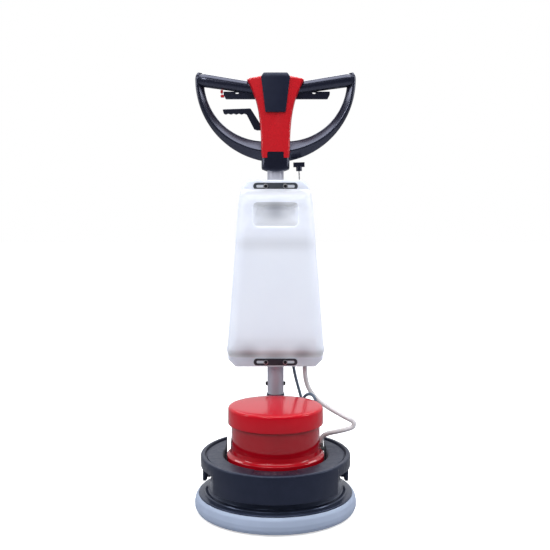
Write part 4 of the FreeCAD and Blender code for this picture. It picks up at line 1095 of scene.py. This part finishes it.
def head_rows(front, back, inset=0.0, crown=0.0, dish=0.0, roundness=7):
    """Closed rows round one half of the housing, from its rounded face to its flat joint.

    The face bulges by the crown and has a soft hollow down its middle, the dish."""
    heights = [1016, 1018, 1022] + [1028 + 8 * i for i in range(28)]
    heights += [1249, 1253, 1256, 1258.5, 1260.3, 1261]
    rows = []
    for z in heights:
        half = head_half(z) - inset
        top_part = max(z - 1240, 0) / 21
        row = []
        across = 29
        for i in range(across):
            s = -1 + 2 * i / (across - 1)
            s = math.copysign(abs(s) ** 0.8, s)
            x = s * half
            edge = max(abs(x) - (half - roundness), 0) / roundness
            step_in = roundness * (1 - math.sqrt(max(1 - edge * edge, 0)))
            bulge = crown * (1 - (x / half) ** 2)
            along = smooth_part(z, 1075, 1150) * (1 - smooth_part(z, 1150, 1158))
            hollow = dish * math.exp(-((x / 13) ** 2)) * along
            round_top = roundness * 0.8 * max(z - 1255, 0) ** 2 / 36
            depth = step_in - bulge + hollow + round_top
            sink = 7 * max(abs(x) - 44, 0) / 41 * top_part
            row.append((x, front + depth if front < back else front - depth, z - sink))
        rows.append([at(x, y, height) for x, y, height in row] + [
            at(row[-1][0], back, row[-1][2]), at(row[0][0], back, row[0][2]),
        ])
    return rows


def make_housing():
    """Red cover with a soft dish and two legs, navy panel, black rear shell and the collar."""
    gap = [(-24.6, 1000), (24.6, 1000), (24.6, 1034.5, 3), (-24.6, 1034.5, 3)]
    screw_places = ((-34, 1046), (34, 1046), (-60, 1226), (60, 1226))
    cover = loft("cover_moulding", head_rows(169.5, 199.6, 0, 1.5, 1.6), "red_plastic", None, smooth=40)
    combine(cover, cutout(gap, 150, 215), smooth=40)
    finished(cover, "red_plastic", "handle", ("front_cover",), 40)
    bevel(cover, 1.0, 2, 45)
    rear_rows = head_rows(233.5, 200.4, 1.2, 1.5, 0, 11)
    shell = loft("rear_moulding", rear_rows, "black_plastic", None, smooth=40)
    cutters = [cutout(gap, 150, 250)]
    for number in range(7):
        height = 1128 + number * 9
        cutters.append(cutout(rectangle(24, height, height + 3.6, 1.6), 229, 240))
    for x, z in screw_places:
        cutters.append(drill(5, 226, 245, at(x, 0, z), "Y"))
    combine(shell, *cutters, smooth=40)
    finished(shell, "black_plastic", "handle", ("rear_shell",), 40)
    bevel(shell, 0.8, 2, 45)
    screws = []
    for x, z in screw_places:
        screws.append(
            lathe(
                "shell_screw",
                [(0, 227.6), (1.4, 227.6), (1.6, 228.8), (3.6, 228.2, 0.8), (4.2, 226), (0, 226)],
                "dark_steel", "handle", middle=at(x, 0, z), axis="Y", steps=24,
            )
        )
    joined("shell_screws", screws)
    rows = []
    for z, half, back in (
        (1152.6, 30.2, 176), (1160, 31.2, 176), (1180, 33.7, 176), (1200, 36.2, 176), (1220, 38.7, 176),
        (1240, 41.2, 176), (1252, 42.8, 199), (1256, 43.2, 199), (1261, 41.2, 199), (1266.5, 37.6, 199),
        (1268.8, 35.8, 198), (1269.8, 34, 196),
    ):
        row = []
        lean = 4 * max(z - 1262, 0) / 8
        for i in range(13):
            s = -1 + i / 6
            row.append(at(s * half, 164.2 - 1.0 * (1 - s * s) + lean, z))
        rows.append(row + [at(half, back - lean, z), at(-half, back - lean, z)])
    panel = loft("panel_moulding", rows, "navy_plastic", "handle", ("cover_panel",), smooth=35)
    bevel(panel, 1.8, 4, 40)
    rows = []
    count = 72
    for level, inset in ((0, 1.6), (0.06, 0.5), (0.14, 0), (0.5, 0), (0.9, 0), (1, 0)):
        row = []
        for i in range(count):
            angle = math.tau * i / count
            x = math.copysign(abs(math.cos(angle)) ** (2 / 4.6), math.cos(angle)) * (43 - inset)
            y = math.copysign(abs(math.sin(angle)) ** (2 / 4.0), math.sin(angle)) * (34 - inset)
            bottom = 975.5 + 8.5 * (x / 43) ** 2
            row.append(at(x, TUBE + y, bottom + (1016 - bottom) * level))
        rows.append(row)
    collar = loft("collar_moulding", rows, "black_plastic", None, smooth=40)
    step = [(-24.1, 1000), (24.1, 1000), (24.1, 1034, 2.5), (-24.1, 1034, 2.5)]
    combine(collar, cutout(step, TUBE - 32.6, TUBE + 31.2), how="UNION")
    combine(collar, drill(25.1, 960, 1060, at(0, TUBE, 0), steps=72))
    finished(collar, "black_plastic", "handle", ("collar",), 40)
    refined("mains_gland", "black_plastic", "handle", 1.5)


OUTER_MIDDLE = Vector((-7.5, 1255.0))
OUTER_RADIUS = 251.5
INNER_MIDDLE = Vector((35.0, 1253.0))
INNER_RADIUS = 182.0


def ring_points(angle):
    """Where a ray at an angle from the outer arc's centre meets the outer and the inner arc."""
    ray = Vector((math.cos(angle), -math.sin(angle)))
    offset = OUTER_MIDDLE - INNER_MIDDLE
    back = offset.dot(ray)
    far = -back + math.sqrt(back * back - offset.length_squared + INNER_RADIUS ** 2)
    return OUTER_MIDDLE + ray * OUTER_RADIUS, OUTER_MIDDLE + ray * far


def arm_rows():
    """Faceted rows along the right-hand arm, from the collar up to the outer corner."""
    rows = []
    count = 100
    foot = math.acos((43.6 - OUTER_MIDDLE.x) / OUTER_RADIUS)
    for i in range(count + 1):
        angle = foot + (-0.078 - foot) * i / count
        shrink = 1 - 0.45 * (max(i - count + 6, 0) / 6) ** 2.5
        outer, inner = ring_points(angle)
        part = i / count
        outward = (outer - inner).normalized()
        width = (outer - inner).length
        ridge = 0.46 - 0.26 * smooth_part(part, 0.15, 0.8)
        section = soften(
            [
                (0, 1, 9), (width * ridge, -17, 7), (width * 0.9, 1.5, 6),
                (width, 7, 5), (width * 0.82, 15, 6), (width * 0.18, 15, 6), (width * 0.02, 9, 5),
            ],
            True, 7,
        )
        row = []
        for distance, depth in section:
            spot = outer - outward * (width / 2 + (distance - width / 2) * shrink)
            row.append(at(spot.x, TUBE + depth * shrink, spot.y))
        rows.append(row)
    return rows


def grip_rows():
    """Rows along the right-hand grip, from the outer corner to the housing."""
    start = Vector((237.0, 1254.0))
    end = Vector((58, 1226.5))
    along = (end - start).normalized()
    up = Vector((along.y, -along.x))
    rows = []
    count = 24
    for i in range(count + 1):
        part = i / count
        middle = start + (end - start) * part
        size = 20.3 - 2.3 * part
        cap = math.sin(min((i + 1) / 4, 1) * math.pi / 2) * 0.6 + 0.4
        row = []
        for step in range(32):
            angle = math.tau * step / 32
            c, s = math.cos(angle), math.sin(angle)
            y = math.copysign(abs(c) ** 0.85, c) * size * 0.93 * cap
            v = math.copysign(abs(s) ** 0.9, s) * size * cap
            spot = middle + up * v
            row.append(at(spot.x, TUBE + y, spot.y))
        rows.append(row)
    return rows


def mirror_rows(rows, sign):
    return [[Vector((point.x * sign, point.y, point.z)) for point in row] for row in rows]


def make_ring():
    """The ring handle: on each side a faceted arm and a rounded grip."""
    for side, sign in SIDES.items():
        arm = loft(f"ring_handle_{side}", mirror_rows(arm_rows(), sign), "black_plastic", None, smooth=50)
        grip = loft("grip", mirror_rows(grip_rows(), sign), "black_plastic", None, smooth=40)
        slot_low, slot_high = sorted((sign * 48, sign * 183))
        channel = block("channel", (slot_low, TUBE - 7.6, 1150), (slot_high, TUBE + 7.6, 1236))
        combine(grip, channel)
        combine(arm, grip, how="UNION", smooth=40)
        finished(arm, "black_plastic", "handle", (f"handle_{side}",), 40)


# Hand controls


def make_controls():
    """Triggers, the red catch and the release lever, all with rounded edges."""
    for side, sign in SIDES.items():
        low = 1195
        tip = 158 if side == "left" else 165
        outline = [
            (sign * 47, low), (sign * (tip - 7), low, 3), (sign * (tip - 1), 1207, 3),
            (sign * tip, 1217, 2), (sign * 47, 1217),
        ]
        made = slab(f"trigger_{side}_lever", outline, TUBE - 6, TUBE + 6, "black_plastic", None, edge=0)
        eye = [
            (sign * 111.5, 1210.5, 2), (sign * 120, 1210, 3), (sign * 123, 1214.5, 2),
            (sign * 112, 1215.5, 2),
        ]
        combine(made, cutout(eye, TUBE - 20, TUBE + 20))
        finished(made, "black_plastic", f"trigger_{side}", (f"trigger_{side}",))
        bevel(made, 1.4, 3, 35)
    catch = [
        (-159.4, 1222), (-159.4, 1213.5), (-161.5, 1213), (-161.5, 1207.5), (-156.4, 1207),
        (-155.2, 1200, 2), (-166.5, 1200, 2.5), (-167, 1206), (-163.5, 1207), (-163.5, 1212.5),
        (-167, 1213.5), (-166.5, 1222),
    ]
    slab(
        "red_catch", catch, TUBE - 5, TUBE + 5, "red_plastic", "safety_catch", ("safety_catch",), edge=0.8,
    )
    outline = [(-11, 1120), (-46, 1120, 4), (-76, 1167, 5), (-161, 1164, 2), (-157, 1151, 2)]
    for i in range(4):
        start = -151.5 + 16 * i
        outline += [(start, 1148.5, 3), (start + 8, 1151.8, 5)]
    outline += [(-88, 1148.5, 4), (-65, 1104, 4), (-56, 1101, 3), (-11, 1103)]
    slab(
        "release_lever_bar", outline, TUBE - 6, TUBE + 6, "black_plastic", "release_lever",
        ("release_lever",), edge=1.5,
    )


make_tank()
make_clamps()
make_valve()
make_housing()
make_ring()
make_controls()
